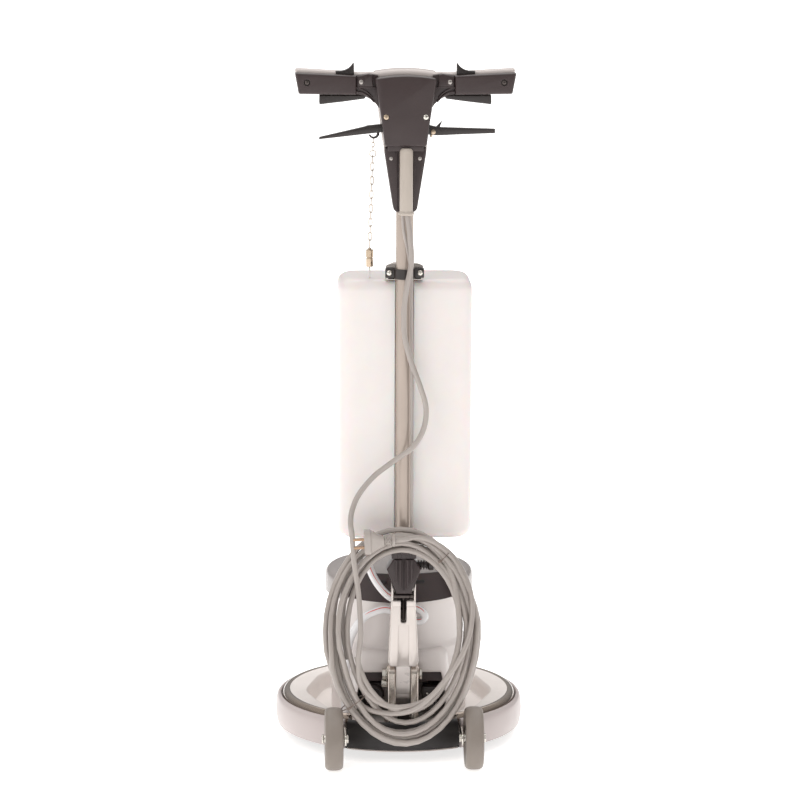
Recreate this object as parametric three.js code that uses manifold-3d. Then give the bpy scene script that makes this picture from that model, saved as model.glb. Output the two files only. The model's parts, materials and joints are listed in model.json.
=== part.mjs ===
// A rotary (single-disc) floor machine: a round base with its motor and planetary gearbox, two transport
// wheels, and a tilting handle that carries the solution tank, the control console and the power cord.
// Millimetres, +Z up, the operator stands at -Y. Each piece is drawn round the pad driver's axis, on the floor.
// At the end the whole machine is moved so that the middle of its footprint is the origin.
import * as THREE from 'three';
import { ConvexGeometry } from 'three/addons/geometries/ConvexGeometry.js';
import { mergeVertices } from 'three/addons/utils/BufferGeometryUtils.js';
import Module from 'manifold-3d';

const wasm = await Module();
wasm.setup();

// ---------------------------------------------------------------- driving dimensions
const GAP = 0.3; // between pieces that rest on each other
const FINE = 48; // facets round a large turned piece
const COARSE = 24; // facets round a small turned piece

const SKIRT_R = 218;
const SKIRT_BOTTOM = 20;
const SKIRT_TOP = 72;
const WELL_FLOOR = 48; // the well in the base casting, where the motor stands
const WELL_HALF = 92; // half width of the well at the back, between the wheels
const PANEL_HALF = 97.5; // half width of the rear panel between the wheels

const WHEEL = { r: 54, width: 31, x: 119.5, y: -246 };
const AXLE_R = 6;
const AXLE_FIT = 0.3; // radial play of pins and axles in their bores

const COVER_R = 112; // motor cover, upper wall
const LID_R = 130.5;
const LID_Z = 258;
const COVER_TOP = 302;

const HINGE = { y: -142, z: 140, r: 15 };
const POLE = { r: 15, y: -150, bottom: 341, top: 1120 };
const ARM = { halfLow: 25.5, halfHigh: 21, rear: -165, front: -131, bottom: 160, shoulder: 272, top: 301 };
const PRONG_INNER = 17.7; // the two prongs at the arm's top, either side of the cross pin
const TONGUE_HALF = 12;
const EAR = { inner: 13, outer: 26 };

const HANDLE_X = 2; // the handle stands a little to the right of the base's middle
const TANK = { x: 2.5, half: 114.5, rear: -150, front: -10, bottom: 380, top: 830, wall: 4 };
const VALVE = { x: -58.5, y: -122 };
const CONSOLE = { bottom: 1062, top: 1174.5, halfBottom: 35, halfTop: 51.5, rear: -188, split: -150 };
const GRIP = { inner: 82.5, outer: 185.5, rear: -175, front: -125 };

const FOOTPRINT_SHIFT = 41; // from the axis of the pad driver to the middle of the footprint, along Y

const GEAR = { module: 1.25, sun: 12, planet: 24, ring: 60, z0: 63, z1: 85 };
const CENTRE_DISTANCE = (GEAR.module * (GEAR.sun + GEAR.planet)) / 2;

// ---------------------------------------------------------------- materials
const paint = (color, roughness, metalness = 0) =>
  new THREE.MeshStandardMaterial({ color, roughness, metalness });
const MATERIAL = {
  skirt: paint('#d9cdc8', 0.45),
  cover: paint('#c9c3bf', 0.4),
  casting: paint('#d8d4d0', 0.3, 0.6),
  aluminium: paint('#dcd6d0', 0.3, 0.9),
  zinc: paint('#c9c6bd', 0.3, 1),
  steel: paint('#a9a49c', 0.35, 1),
  dark: paint('#4a4140', 0.55),
  black: paint('#231d1c', 0.5),
  shell: paint('#d6cecb', 0.4),
  pole: paint('#bdb3a9', 0.35, 0.4),
  cord: paint('#aaa39b', 0.5),
  tank: paint('#f4ece8', 0.35),
  tyre: paint('#9a9189', 0.7),
  hose: paint('#e9e4e4', 0.2),
  brass: paint('#b3926a', 0.35, 0.9),
  copper: paint('#a2603a', 0.5, 0.6),
};

// ---------------------------------------------------------------- solids
function toSolid(geometry) {
  const bare = geometry.clone();
  bare.deleteAttribute('normal');
  bare.deleteAttribute('uv');
  const merged = mergeVertices(bare, 1e-3);
  const vertProperties = merged.attributes.position.array;
  const triVerts = new Uint32Array(merged.index.array);
  const made = new wasm.Manifold(new wasm.Mesh({ numProp: 3, vertProperties, triVerts }));
  if (made.volume() > 0) return made;
  for (let i = 0; i < triVerts.length; i += 3) {
    [triVerts[i + 1], triVerts[i + 2]] = [triVerts[i + 2], triVerts[i + 1]];
  }
  return new wasm.Manifold(new wasm.Mesh({ numProp: 3, vertProperties, triVerts }));
}

function toGeometry(solid) {
  const mesh = solid.getMesh();
  const geometry = new THREE.BufferGeometry();
  geometry.setAttribute('position', new THREE.BufferAttribute(new Float32Array(mesh.vertProperties), 3));
  geometry.setIndex(new THREE.BufferAttribute(new Uint32Array(mesh.triVerts), 1));
  geometry.computeVertexNormals();
  return geometry;
}

const join = (first, ...rest) => toGeometry(rest.reduce((s, g) => s.add(toSolid(g)), toSolid(first)));
const cut = (first, ...rest) => toGeometry(rest.reduce((s, g) => s.subtract(toSolid(g)), toSolid(first)));
const common = (first, ...rest) => toGeometry(rest.reduce((s, g) => s.intersect(toSolid(g)), toSolid(first)));

// A block from its lowest to its highest corner.
function block([x0, x1], [y0, y1], [z0, z1]) {
  const box = new THREE.BoxGeometry(x1 - x0, y1 - y0, z1 - z0);
  return box.translate((x0 + x1) / 2, (y0 + y1) / 2, (z0 + z1) / 2);
}

// A [radius, height] profile turned about Z. It closes on itself, or starts and ends on the axis.
function turned(profile, facets = FINE) {
  const points = profile.map(([r, z]) => new THREE.Vector2(r, z));
  if (profile[0][0] > 0) points.push(points[0].clone());
  return new THREE.LatheGeometry(points, facets).rotateX(Math.PI / 2);
}

// A round bar along 'x', 'y' or 'z', centred at [a, b] in the other two axes.
function bar(axis, radius, [from, to], [a, b], facets = COARSE) {
  const geometry = new THREE.CylinderGeometry(radius, radius, to - from, facets);
  if (axis === 'x') return geometry.rotateZ(-Math.PI / 2).translate((from + to) / 2, a, b);
  if (axis === 'y') return geometry.translate(a, (from + to) / 2, b);
  return geometry.rotateX(Math.PI / 2).translate(a, b, (from + to) / 2);
}

function shapeOf(outline) {
  if (outline instanceof THREE.Shape) return outline;
  return new THREE.Shape(outline.map(([a, b]) => new THREE.Vector2(a, b)));
}

const UNIT = { x: new THREE.Vector3(1, 0, 0), y: new THREE.Vector3(0, 1, 0), z: new THREE.Vector3(0, 0, 1) };
const AXES = {
  x: new THREE.Matrix4().makeBasis(UNIT.y, UNIT.z, UNIT.x),
  y: new THREE.Matrix4().makeBasis(UNIT.x, UNIT.z, UNIT.y.clone().negate()),
  z: new THREE.Matrix4(),
};

// An outline given in the two axes other than `axis`, in X, Y, Z order, as a prism along `axis`.
function prism(axis, outline, [from, to], curveSegments = 8) {
  const depth = to - from;
  const geometry = new THREE.ExtrudeGeometry(shapeOf(outline), { depth, curveSegments, bevelEnabled: false });
  geometry.applyMatrix4(AXES[axis]);
  if (axis === 'x') return geometry.translate(from, 0, 0);
  if (axis === 'y') return geometry.translate(0, to, 0);
  return geometry.translate(0, 0, from);
}

// A round tube or cord through the points.
function cordThrough(points, radius, steps, sides = 4) {
  const curve = new THREE.CatmullRomCurve3(points.map(([x, y, z]) => new THREE.Vector3(x, y, z)));
  const section = new THREE.Shape().absarc(0, 0, radius, 0, 2 * Math.PI, false);
  return new THREE.ExtrudeGeometry(section, { steps, curveSegments: sides, extrudePath: curve });
}

const mirrored = (outline) => outline.map(([x, z]) => [-x, z]).reverse();

// ---------------------------------------------------------------- the group and its meshes
const machine = new THREE.Group();
machine.name = 'rotary_floor_machine';

function group(parent, x = 0, y = 0, z = 0) {
  const made = new THREE.Group();
  made.position.set(x, y, z);
  parent.add(made);
  return made;
}

function add(parent, name, geometry, material, [x, y, z] = [0, 0, 0]) {
  const mesh = new THREE.Mesh(toGeometry(toSolid(geometry)), material);
  mesh.name = name;
  mesh.position.set(x, y, z);
  parent.add(mesh);
  return mesh;
}

// ---------------------------------------------------------------- base: skirt, casting, cover
const skirtRing = () => turned([
  [SKIRT_R - 4, SKIRT_BOTTOM], [SKIRT_R, 44], [SKIRT_R - 1.5, 60], [SKIRT_R - 6, 69],
  [SKIRT_R - 8.5, SKIRT_TOP],
  [SKIRT_R - 10.5, 71], [SKIRT_R - 9, 62], [SKIRT_R - 6, 44], [SKIRT_R - 9, SKIRT_BOTTOM],
]);

function skirtShroud() {
  const gate = PANEL_HALF + 5.5;
  return cut(skirtRing(), block([-gate, gate], [-SKIRT_R - 5, -150], [0, 100]));
}

function rearPanel() {
  return common(skirtRing(), block([-PANEL_HALF, PANEL_HALF], [-SKIRT_R - 5, -150], [0, 100]));
}

// The plan of the well, `grow` wider all round: six-sided round the motor, and open to the back.
function wellOutline(grow) {
  const right = [[WELL_HALF + grow, -SKIRT_R], [WELL_HALF + grow, -148], [121 + grow, -128],
    [161 + grow, -13], [133 + grow, 100 + grow], [75, 160 + grow]];
  return [...right, ...mirrored(right)];
}

function baseCasting() {
  const rim = SKIRT_R - 11.5;
  const plate = turned([
    [0, 73], [rim - 10, 73], [rim - 7, 68], [rim - 7, 60], [rim - 1, 60], [rim, 68], [rim - 2.5, 74.5],
    [rim - 9, 79], [rim - 14, 78], [0, 78],
  ]);
  const tub = common(prism('z', wellOutline(6), [42, 77]), bar('z', rim - 1, [40, 80], [0, 0], FINE));
  const well = prism('z', wellOutline(0), [WELL_FLOOR, 90]);
  return cut(join(plate, tub), well, bar('z', 50, [30, 60], [0, 0], 36));
}

// The sloping face across the back of the lid, from an arc on the lid's top to an arc just outside the wall.
function backSlope(shift) {
  const steps = Array.from({ length: 13 }, (_, i) => i / 6 - 1);
  const topArc = steps.map((t) => [72 * t, -72 + 20 * t * t - shift, COVER_TOP + 1]);
  const wallArc = steps.flatMap((t) => {
    const y = -Math.sqrt((COVER_R + 0.6 + shift) ** 2 - (92 * t) ** 2);
    return [[92 * t, y, LID_Z], [92 * t, y, LID_Z - 6]];
  });
  const inside = [-1, 1].flatMap((side) => [[92 * side, 0, LID_Z - 6], [72 * side, 0, COVER_TOP + 1]]);
  return new ConvexGeometry([...topArc, ...wallArc, ...inside].map((p) => new THREE.Vector3(...p)));
}

function motorCover() {
  const wall = 4;
  const shell = turned([
    [119, WELL_FLOOR + GAP], [118, 172], [COVER_R, 182], [COVER_R, LID_Z], [LID_R, LID_Z], [LID_R, 288],
    [LID_R - 4, 297],
    [LID_R - 12, COVER_TOP], [0, COVER_TOP], [0, COVER_TOP - wall], [LID_R - 14, COVER_TOP - wall],
    [LID_R - wall, 286],
    [LID_R - wall, LID_Z + wall], [COVER_R - wall, LID_Z + wall], [COVER_R - wall, 182], [114, 172],
    [115, WELL_FLOOR + GAP],
  ]);
  const arch = [[-80, 0], [-80, 100], [-67, 136], [67, 136], [80, 100], [80, 0]];
  const notch = cut(block([-91, 91], [-140, -20], [LID_Z - 4, 320]), backSlope(0));
  return cut(shell, prism('y', arch, [-140, -60]), notch);
}

function coverPanel() {
  const outer = cut(backSlope(3), backSlope(GAP));
  return common(outer, block([-88, 88], [-140, -45], [LID_Z + GAP, COVER_TOP]));
}

// ---------------------------------------------------------------- base: clevis, wheels
function clevisBracket() {
  const ear = new THREE.Shape();
  ear.moveTo(-172, 50);
  ear.lineTo(HINGE.y - HINGE.r, HINGE.z);
  ear.absarc(HINGE.y, HINGE.z, HINGE.r, Math.PI, 0, true);
  ear.lineTo(-114, 50);
  const foot = block([-31, 31], [-176, -112], [WELL_FLOOR + GAP, 54]);
  const ears = [[-EAR.outer, -EAR.inner], [EAR.inner, EAR.outer]].map((span) => prism('x', ear, span));
  return cut(join(foot, ...ears), bar('x', AXLE_R + AXLE_FIT, [-50, 50], [HINGE.y, HINGE.z]));
}

function pivotBolt() {
  const shank = bar('x', AXLE_R, [-32, 33], [HINGE.y, HINGE.z]);
  const head = bar('x', 10, [-36, -EAR.outer - GAP], [HINGE.y, HINGE.z], 6);
  const nut = bar('x', 10, [EAR.outer + GAP, 33], [HINGE.y, HINGE.z], 6);
  return join(shank, head, nut);
}

// One bracket, axle and wheel on the right-hand side; `side` is 1 on the right and -1 on the left.
function wheelBracket(side) {
  const outline = [[-262, 44], [-262, 64], [-215, 66], [-176, 57.5], [-152, 57.5], [-152, 44]];
  const plate = prism('x', outline, side > 0 ? [98.3, 102.3] : [-102.3, -98.3]);
  return cut(plate, bar('x', AXLE_R + AXLE_FIT, side > 0 ? [90, 110] : [-110, -90], [WHEEL.y, WHEEL.r]));
}

function stubAxle() {
  const outerFace = WHEEL.width / 2;
  return join(
    bar('x', AXLE_R, [-24, outerFace + 4], [0, 0]),
    bar('x', 8, [outerFace + 1, outerFace + 5], [0, 0], 6),
    bar('x', 7.6, [-24.8, -21.6], [0, 0], 6),
  );
}

function wheel() {
  const half = WHEEL.width / 2;
  const bore = AXLE_R + AXLE_FIT;
  const profile = [[bore, -half], [49, -half], [WHEEL.r, 5 - half], [WHEEL.r, half - 5], [49, half],
    [bore, half]];
  return turned(profile, 36).rotateY(Math.PI / 2);
}

// ---------------------------------------------------------------- drive: motor, planetary gearbox, pad driver
// Straight-flanked teeth on a pitch circle. `inward` makes the teeth of a ring gear.
function toothedOutline(teeth, inward, turn = 0) {
  const pitch = (GEAR.module * teeth) / 2;
  const addendum = 0.8 * GEAR.module;
  const dedendum = 1.1 * GEAR.module;
  const halfTooth = (0.42 * Math.PI) / teeth; // under half of the pitch, for backlash
  const lean = Math.tan(THREE.MathUtils.degToRad(20)) / pitch;
  const tip = inward ? pitch - addendum : pitch + addendum;
  const root = inward ? pitch + dedendum : pitch - dedendum;
  const tipHalf = halfTooth - addendum * lean;
  const rootHalf = halfTooth + dedendum * lean;
  const points = [];
  for (let i = 0; i < teeth; i++) {
    const middle = (2 * Math.PI * i) / teeth + turn;
    for (const [radius, angle] of [[root, -rootHalf], [tip, -tipHalf], [tip, tipHalf], [root, rootHalf]]) {
      points.push([radius * Math.cos(middle + angle), radius * Math.sin(middle + angle)]);
    }
  }
  return points;
}

function spurGear(teeth, bore, [z0, z1]) {
  const outline = shapeOf(toothedOutline(teeth, false));
  outline.holes.push(new THREE.Path().absarc(0, 0, bore, 0, 2 * Math.PI, true));
  return prism('z', outline, [z0, z1], 6);
}

function ringGear() {
  const outline = new THREE.Shape().absarc(0, 0, 44, 0, 2 * Math.PI, false);
  const teeth = toothedOutline(GEAR.ring, true).map(([x, y]) => new THREE.Vector2(x, y)).reverse();
  outline.holes.push(new THREE.Path(teeth));
  return prism('z', outline, [GEAR.z0 - 1, GEAR.z1 + 1], 20);
}

function gearHousing() {
  return turned([
    [70, 48.3], [70, 53], [52, 53], [52, 104], [9, 104], [9, 98], [44.5, 98], [44.5, 53], [13, 53],
    [13, 48.3],
  ], 36);
}

function planetCarrier() {
  const plate = turned([[0, 33], [12, 33], [12, 54], [33, 54], [33, 60], [0, 60]], COARSE);
  const pins = planetAngles().map((a) => bar('z', 4.7, [59, GEAR.z1], at(a, CENTRE_DISTANCE), 16));
  return join(plate, ...pins);
}

const planetAngles = () => [90, 210, 330].map((degrees) => THREE.MathUtils.degToRad(degrees));
const at = (angle, radius) => [radius * Math.cos(angle), radius * Math.sin(angle)];

const statorCan = () => turned([
  [78, 105], [78, 228], [9, 228], [9, 222], [49, 222], [49, 111], [9, 111], [9, 105],
], 36);
const rotor = () => turned([
  [0, 62], [4, 62], [4, 92], [7, 92], [7, 118], [48, 118], [48, 215], [7, 215], [7, 246], [0, 246],
], COARSE);
const drivePlate = () => turned([[12.3, 31], [60, 31], [60, 40], [12.3, 40]], 36);
const padDriver = () => turned([[24, 18], [196, 18], [196, 26], [188, 30.6], [24, 30.6]]);
const padGripFace = () => turned([[60, 14], [194, 14], [194, 17.7], [60, 17.7]]);

// ---------------------------------------------------------------- handle: arm, foot, pole, hook
function armCasting() {
  const side = [[ARM.rear + 3, ARM.bottom], [ARM.rear, 170], [ARM.rear, ARM.shoulder],
    [ARM.front, ARM.shoulder], [ARM.front, ARM.bottom]];
  const taper = [[-ARM.halfLow, ARM.bottom], [ARM.halfLow, ARM.bottom], [ARM.halfHigh, ARM.shoulder],
    [-ARM.halfHigh, ARM.shoulder]];
  const body = common(prism('x', side, [-ARM.halfLow, ARM.halfLow]), prism('y', taper, [ARM.rear, ARM.front]));
  const prongOutline = [[ARM.rear, 260], [ARM.rear, 286], [-158, ARM.top], [-140, ARM.top], [ARM.front, 286],
    [ARM.front, 260]];
  const prongSpans = [[-ARM.halfHigh, -PRONG_INNER], [PRONG_INNER, ARM.halfHigh]];
  const prongs = prongSpans.map((span) => prism('x', prongOutline, span));
  const tail = new THREE.Shape();
  tail.moveTo(ARM.front - 1, 165);
  tail.lineTo(ARM.front - 1, 107);
  tail.absarc(ARM.front - 12, 107, 11, 0, -Math.PI, true);
  tail.lineTo(ARM.rear + 2, 165);
  const tongue = prism('x', tail, [-TONGUE_HALF, TONGUE_HALF]);
  const slot = join(
    block([-5.5, 5.5], [ARM.rear - 1, -146], [247, ARM.shoulder + 1]),
    bar('y', 5.5, [ARM.rear - 1, -146], [0, 247], 16),
  );
  const channel = block([-10, 10], [ARM.rear - 1, ARM.rear + 3], [176, 228]);
  const seat = block([-12 - GAP, 12 + GAP], [-147, ARM.front + 1], [255 - GAP, ARM.shoulder + 1]);
  const bore = bar('x', AXLE_R + AXLE_FIT, [-20, 20], [HINGE.y, HINGE.z]);
  return cut(join(body, ...prongs, tongue), bore, slot, channel, seat);
}

function footSocket() {
  const face = [[-17.5, 349], [-28.5, 333], [-12.8, 289], [12.8, 289], [28.5, 333], [17.5, 349]];
  const spigot = block([-12, 12], [-146.5, ARM.front], [255, 292]);
  const body = join(prism('y', face, [-172, ARM.front]), spigot, bar('z', 20.5, [340, 350.5],
    [0, POLE.y], 32));
  const tubeBore = bar('z', POLE.r + GAP, [POLE.bottom - GAP, 360], [0, POLE.y], 32);
  return cut(body, tubeBore, bar('z', 5, [280, 325], [0, -152], 16), bar('x', 5.2, [-40, 40],
    [-161, 283], 16));
}

const crossPin = () => bar('x', 4.3, [GAP - PRONG_INNER, PRONG_INNER - GAP], [-161, 283], 16);
const lockRod = () => bar('z', 4, [244, 306], [0, -152], 16);

const poleTube = () => turned([
  [POLE.r - 2, POLE.bottom], [POLE.r, POLE.bottom], [POLE.r, POLE.top], [POLE.r - 2, POLE.top],
], 32);

function cordHook() {
  const clip = bar('z', 21, [356, 376], [0, POLE.y], 32);
  const peg = block([-7, 7], [-222, POLE.y - 10], [364, 374]);
  return cut(join(clip, peg), bar('z', POLE.r + GAP, [340, 380], [0, POLE.y], 32));
}

function cableGland() {
  const parts = [[29, 34, 6], [33, 36, 9], [35, 38, 6], [37, 40, 9], [39, 42, 6], [41, 53, 10]];
  const [first, ...rest] = parts.map(([x0, x1, r]) => bar('x', r, [x0, x1], [-150, 339], 16));
  return join(first, ...rest);
}

// ---------------------------------------------------------------- handle: tank and its clamp
function tankBlank(inset) {
  const round = 14;
  const corner = 22 - inset;
  const x = TANK.half - inset - round;
  const [y0, y1] = [TANK.rear + inset + round, TANK.front - inset - round];
  const outline = new THREE.Shape();
  outline.moveTo(-x + corner, y0);
  outline.lineTo(x - corner, y0);
  outline.absarc(x - corner, y0 + corner, corner, -Math.PI / 2, 0, false);
  outline.absarc(x - corner, y1 - corner, corner, 0, Math.PI / 2, false);
  outline.absarc(-x + corner, y1 - corner, corner, Math.PI / 2, Math.PI, false);
  outline.absarc(-x + corner, y0 + corner, corner, Math.PI, 1.5 * Math.PI, false);
  const shoulder = 26;
  const [z0, z1] = [TANK.bottom + inset + shoulder, TANK.top - inset - shoulder];
  const bevel = { bevelEnabled: true, bevelSize: round, bevelThickness: shoulder, bevelSegments: 3 };
  const blank = new THREE.ExtrudeGeometry(outline, { depth: z1 - z0, curveSegments: 4, ...bevel });
  return blank.translate(TANK.x, 0, z0);
}

function solutionTank() {
  const groove = (r) => bar('z', r, [TANK.bottom - 20, TANK.top + 20], [0, POLE.y], 32);
  const cavity = cut(tankBlank(TANK.wall), groove(21.5));
  const neck = bar('z', 19, [TANK.top - 8, 838], [0, -90], 32);
  const mouth = bar('z', 15, [TANK.top - 12, 850], [0, -90], COARSE);
  const valveHole = bar('z', 3, [TANK.top - 12, 850], [VALVE.x, VALVE.y], 12);
  const outlet = bar('z', 8, [TANK.bottom - 8, TANK.bottom + 8], [-60, -104], 16);
  return cut(join(cut(tankBlank(0), cavity, groove(17.5)), neck, outlet), mouth, valveHole);
}

function tankCap() {
  return turned([[0, 841], [19.2, 841], [19.2, 834], [21.5, 834], [21.5, 852], [0, 852]], 32);
}

function clampBracket() {
  const bracket = join(block([-32, 32], [-151, -124], [831, 837]), block([-32, 32], [-151, -143],
    [831, 855]));
  const poleHole = bar('z', POLE.r + GAP, [820, 860], [0, POLE.y], 32);
  return cut(bracket, poleHole, bar('z', 23, [820, 832], [0, -90], 32));
}

function clampStrap() {
  const [z0, z1] = [835, 852];
  const tabs = block([-33, 33], [-155, -151.3], [z0, z1]);
  return cut(
    join(tabs, common(bar('z', 18.6, [z0, z1], [0, POLE.y], 32), block([-20, 20], [-180, -151.3], [z0, z1]))),
    bar('z', POLE.r + GAP, [820, 860], [0, POLE.y], 32),
  );
}

// ---------------------------------------------------------------- handle: console
// Half width of the console body at a height.
const consoleHalf = (z) =>
  THREE.MathUtils.mapLinear(z, CONSOLE.bottom, CONSOLE.top, CONSOLE.halfBottom, CONSOLE.halfTop);

// The outline of the console body, `grow` larger all round and `rise` higher at its crowned top.
function centreOutline(grow, rise = grow) {
  const [b, t] = [CONSOLE.halfBottom + grow, CONSOLE.halfTop + grow];
  const [bottom, top] = [CONSOLE.bottom - grow, CONSOLE.top + rise];
  return [[-b, bottom], [b, bottom], [t, top], [t / 2, top + 3.8], [0, top + 5], [-t / 2, top + 3.8],
    [-t, top]];
}

// A grip with the neck that joins it to the console, right-hand side.
const gripOutline = (rise = 0) => [[42, 1122.5], [58, 1138.5], [70, 1145.3], [GRIP.inner, 1147],
  [179, 1148.3], [GRIP.outer, 1183.5 + rise], [GRIP.inner, 1178.7 + rise], [48, 1182.5]];

// The openings for a trigger paddle, a thumb button and a console lever, right-hand side.
const gripOpenings = () => [
  block([63, 147], [-162, -138], [1116, 1167.5]),
  block([84.5, 118.5], [-158.5, -141.5], [1168.5, 1195]),
];
const leverOpening = () => block([12, 60], [-158, -142], [1073, 1113]);
const onBothSides = (make) => [1, -1].flatMap((side) => make().map((g) => g.scale(side, 1, 1)));

function consoleShell() {
  const span = [CONSOLE.split + GAP, -105];
  const centre = prism('y', centreOutline(2.5, 8.5), span);
  const wingOutlines = [gripOutline(5), mirrored(gripOutline(5))];
  const wings = wingOutlines.map((outline) => prism('y', outline, [CONSOLE.split + GAP, GRIP.front]));
  const hollow = prism('y', centreOutline(-2), [-160, -110]);
  const poleHole = bar('z', POLE.r + GAP, [1040, 1080], [0, POLE.y], 32);
  const openings = onBothSides(() => [...gripOpenings(), leverOpening()]);
  return cut(join(centre, ...wings), hollow, poleHole, ...openings);
}

function rearCover() {
  const body = prism('y', centreOutline(0), [CONSOLE.rear, CONSOLE.split]);
  const hollow = prism('y', centreOutline(-4), [CONSOLE.rear + 4, CONSOLE.split + 5]);
  const poleHole = bar('z', POLE.r + GAP, [1040, 1080], [0, POLE.y], 32);
  return cut(body, hollow, poleHole, ...onBothSides(() => [leverOpening()]));
}

function rightGrip() {
  const neck = prism('y', gripOutline(), [GRIP.rear, CONSOLE.split - GAP]);
  return cut(neck, prism('y', centreOutline(2 * GAP), [CONSOLE.rear, CONSOLE.split + GAP]), ...gripOpenings());
}

function stemCover() {
  const face = [[-34, 1059], [-34, 1048], [-19, 956], [-14, 950], [14, 950], [19, 956], [34, 1048],
    [34, 1059]];
  const body = prism('y', face, [-172, -128]);
  const bootSeat = bar('z', 11.6, [940, 1070], [1, -184], COARSE);
  return cut(body, bar('z', POLE.r + GAP, [940, 1070], [0, POLE.y], 32), bootSeat);
}

const cordBoot = () =>
  join(bar('z', 11, [952, 1058.5], [1, -184], COARSE), bar('z', 13, [946, 954], [1, -186], 16));

const triggerOutline = [[64.5, 1145.5], [68.5, 1139], [144.3, 1129.5], [144.3, 1145.5]];
const buttonOutline = [[86, 1174], [116.4, 1174], [117, 1183.5], [110, 1183.3], [100.5, 1185],
  [92.5, 1190], [86.8, 1198.5]];

function solutionLever() {
  const outline = [[-145, 1070], [-60, 1079.5], [-26, 1083], [-24, 1089], [-28, 1096], [-44, 1095.5],
    [-60, 1093.5], [-145, 1074.5]];
  const hook = new THREE.Shape();
  hook.absarc(-53, 1080, 6.5, Math.PI * 0.95, Math.PI * 2.2, false);
  hook.absarc(-53, 1080, 3.5, Math.PI * 2.2, Math.PI * 0.95, true);
  return join(prism('y', outline, [-156, -144]), prism('y', hook, [-153, -147], 6));
}

function lockLever() {
  const outline = [[151.5, 1080.5], [151.5, 1088], [58, 1090.5], [61.5, 1100.5], [51, 1092], [38, 1095],
    [24, 1092], [22, 1085], [26, 1079], [50, 1076]];
  return prism('y', outline, [-156, -144]);
}

const valveChain = () => cordThrough([[-54, -149, 1071], [-56.5, -136, 976],
  [VALVE.x, VALVE.y, 884]], 1.4, 2);
const valvePlunger = () => join(
  bar('z', 6.2, [850, 882], [VALVE.x, VALVE.y], 16),
  bar('z', 2, [812, 852], [VALVE.x, VALVE.y], 12),
);

// ---------------------------------------------------------------- cord and hoses
const CORD_R = 5;
const COIL = { x: -4, y: -221, z: 234.5, halfX: 114.5, halfZ: 165.5, lean: 0.15 };

// A bundle of cord round an ellipse, leaning back towards its foot.
function coilBundle(thick, deep) {
  const ring = new THREE.TorusGeometry(1, 0.25, 8, 40);
  const p = ring.attributes.position;
  for (let i = 0; i < p.count; i++) {
    const angle = Math.atan2(p.getY(i), p.getX(i));
    const out = (Math.hypot(p.getX(i), p.getY(i)) - 1) / 0.25;
    const across = p.getZ(i) / 0.25;
    const normal = new THREE.Vector2(Math.cos(angle) / COIL.halfX, Math.sin(angle) / COIL.halfZ).normalize();
    const x = COIL.halfX * Math.cos(angle) + normal.x * out * thick;
    const z = COIL.halfZ * Math.sin(angle) + normal.y * out * thick;
    p.setXYZ(i, COIL.x + x, COIL.y + across * deep + z * COIL.lean, COIL.z + z);
  }
  return ring;
}

const cordCoil = () => join(
  coilBundle(22, 17),
  cordThrough([[-96, -226, 378], [-95, -226, 350], [-86, -228, 300], [-82, -232, 240],
    [-88, -234, 190]], CORD_R, 12),
);

const powerCord = () => cordThrough([
  [2, -186, 944], [8, -186, 905], [12, -186, 866], [5, -186, 826], [0, -186, 786], [1, -186, 742],
  [11, -186, 700],
  [28, -186, 653], [38, -186, 615], [33, -186, 578], [15, -187, 549], [-16, -188, 526], [-50, -190, 500],
  [-76, -197, 470], [-84, -205, 454],
], CORD_R, 34);

function plug() {
  const body = [[-70, 378], [-70, 418], [-62, 418], [-36, 405], [-18, 404], [-18, 392], [-36, 391],
    [-62, 378]];
  const prongs = [392, 404].map((z) => block([-88, -69], [-230, -226], [z - 2.5, z + 2.5]));
  return join(prism('y', body, [-242, -218]), ...prongs);
}

const hoseUpper = () => cordThrough([
  [-60, -104, 370], [-58, -112, 340], [-44, -121, 306], [-22, -121.5, 272], [2, -121.5, 258],
  [22, -121.5, 252], [33, -121.5, 247],
], 6.3, 16);
const hoseLower = () => cordThrough([
  [40, -121.5, 238], [34, -121.5, 229], [18, -121.5, 229], [-4, -121.5, 236], [-28, -121.5, 243],
  [-54, -119, 236], [-80, -112, 214], [-94, -106, 180], [-98, -102, 130], [-99, -100, 80], [-99, -100, 49],
], 6.3, 24);

// ---------------------------------------------------------------- assembly
function buildBase() {
  const base = group(machine);
  add(base, 'skirt_shroud', skirtShroud(), MATERIAL.skirt);
  add(base, 'rear_panel', rearPanel(), MATERIAL.black);
  add(base, 'base_casting', baseCasting(), MATERIAL.casting);
  add(base, 'motor_cover', motorCover(), MATERIAL.cover);
  add(base, 'cover_panel', coverPanel(), MATERIAL.dark);
  const pivot = group(base, HANDLE_X);
  add(pivot, 'clevis_bracket', clevisBracket(), MATERIAL.aluminium);
  add(pivot, 'pivot_bolt', pivotBolt(), MATERIAL.zinc);
  add(pivot, 'stop_block', block([-10, 10], [-168, -154], [54.5, 90]), MATERIAL.black);
  add(pivot, 'hose_lower', hoseLower(), MATERIAL.hose);
  add(base, 'socket_left', cut(
    block([-62, -34], [-128, -96], [80, 118]),
    block([-56, -40], [-129, -108], [88, 110]),
  ), MATERIAL.black);
  add(base, 'terminal_box', block([36, 62], [-126, -96], [78, 112]), MATERIAL.black);
  for (const [label, side] of [['left', -1], ['right', 1]]) {
    add(base, `wheel_bracket_${label}`, wheelBracket(side), MATERIAL.steel);
    const hub = group(base, side * WHEEL.x, WHEEL.y, WHEEL.r);
    add(hub, `axle_${label}`, stubAxle().scale(side, 1, 1), MATERIAL.zinc);
    add(hub, `wheel_${label}`, wheel(), MATERIAL.tyre);
  }
}

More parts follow.
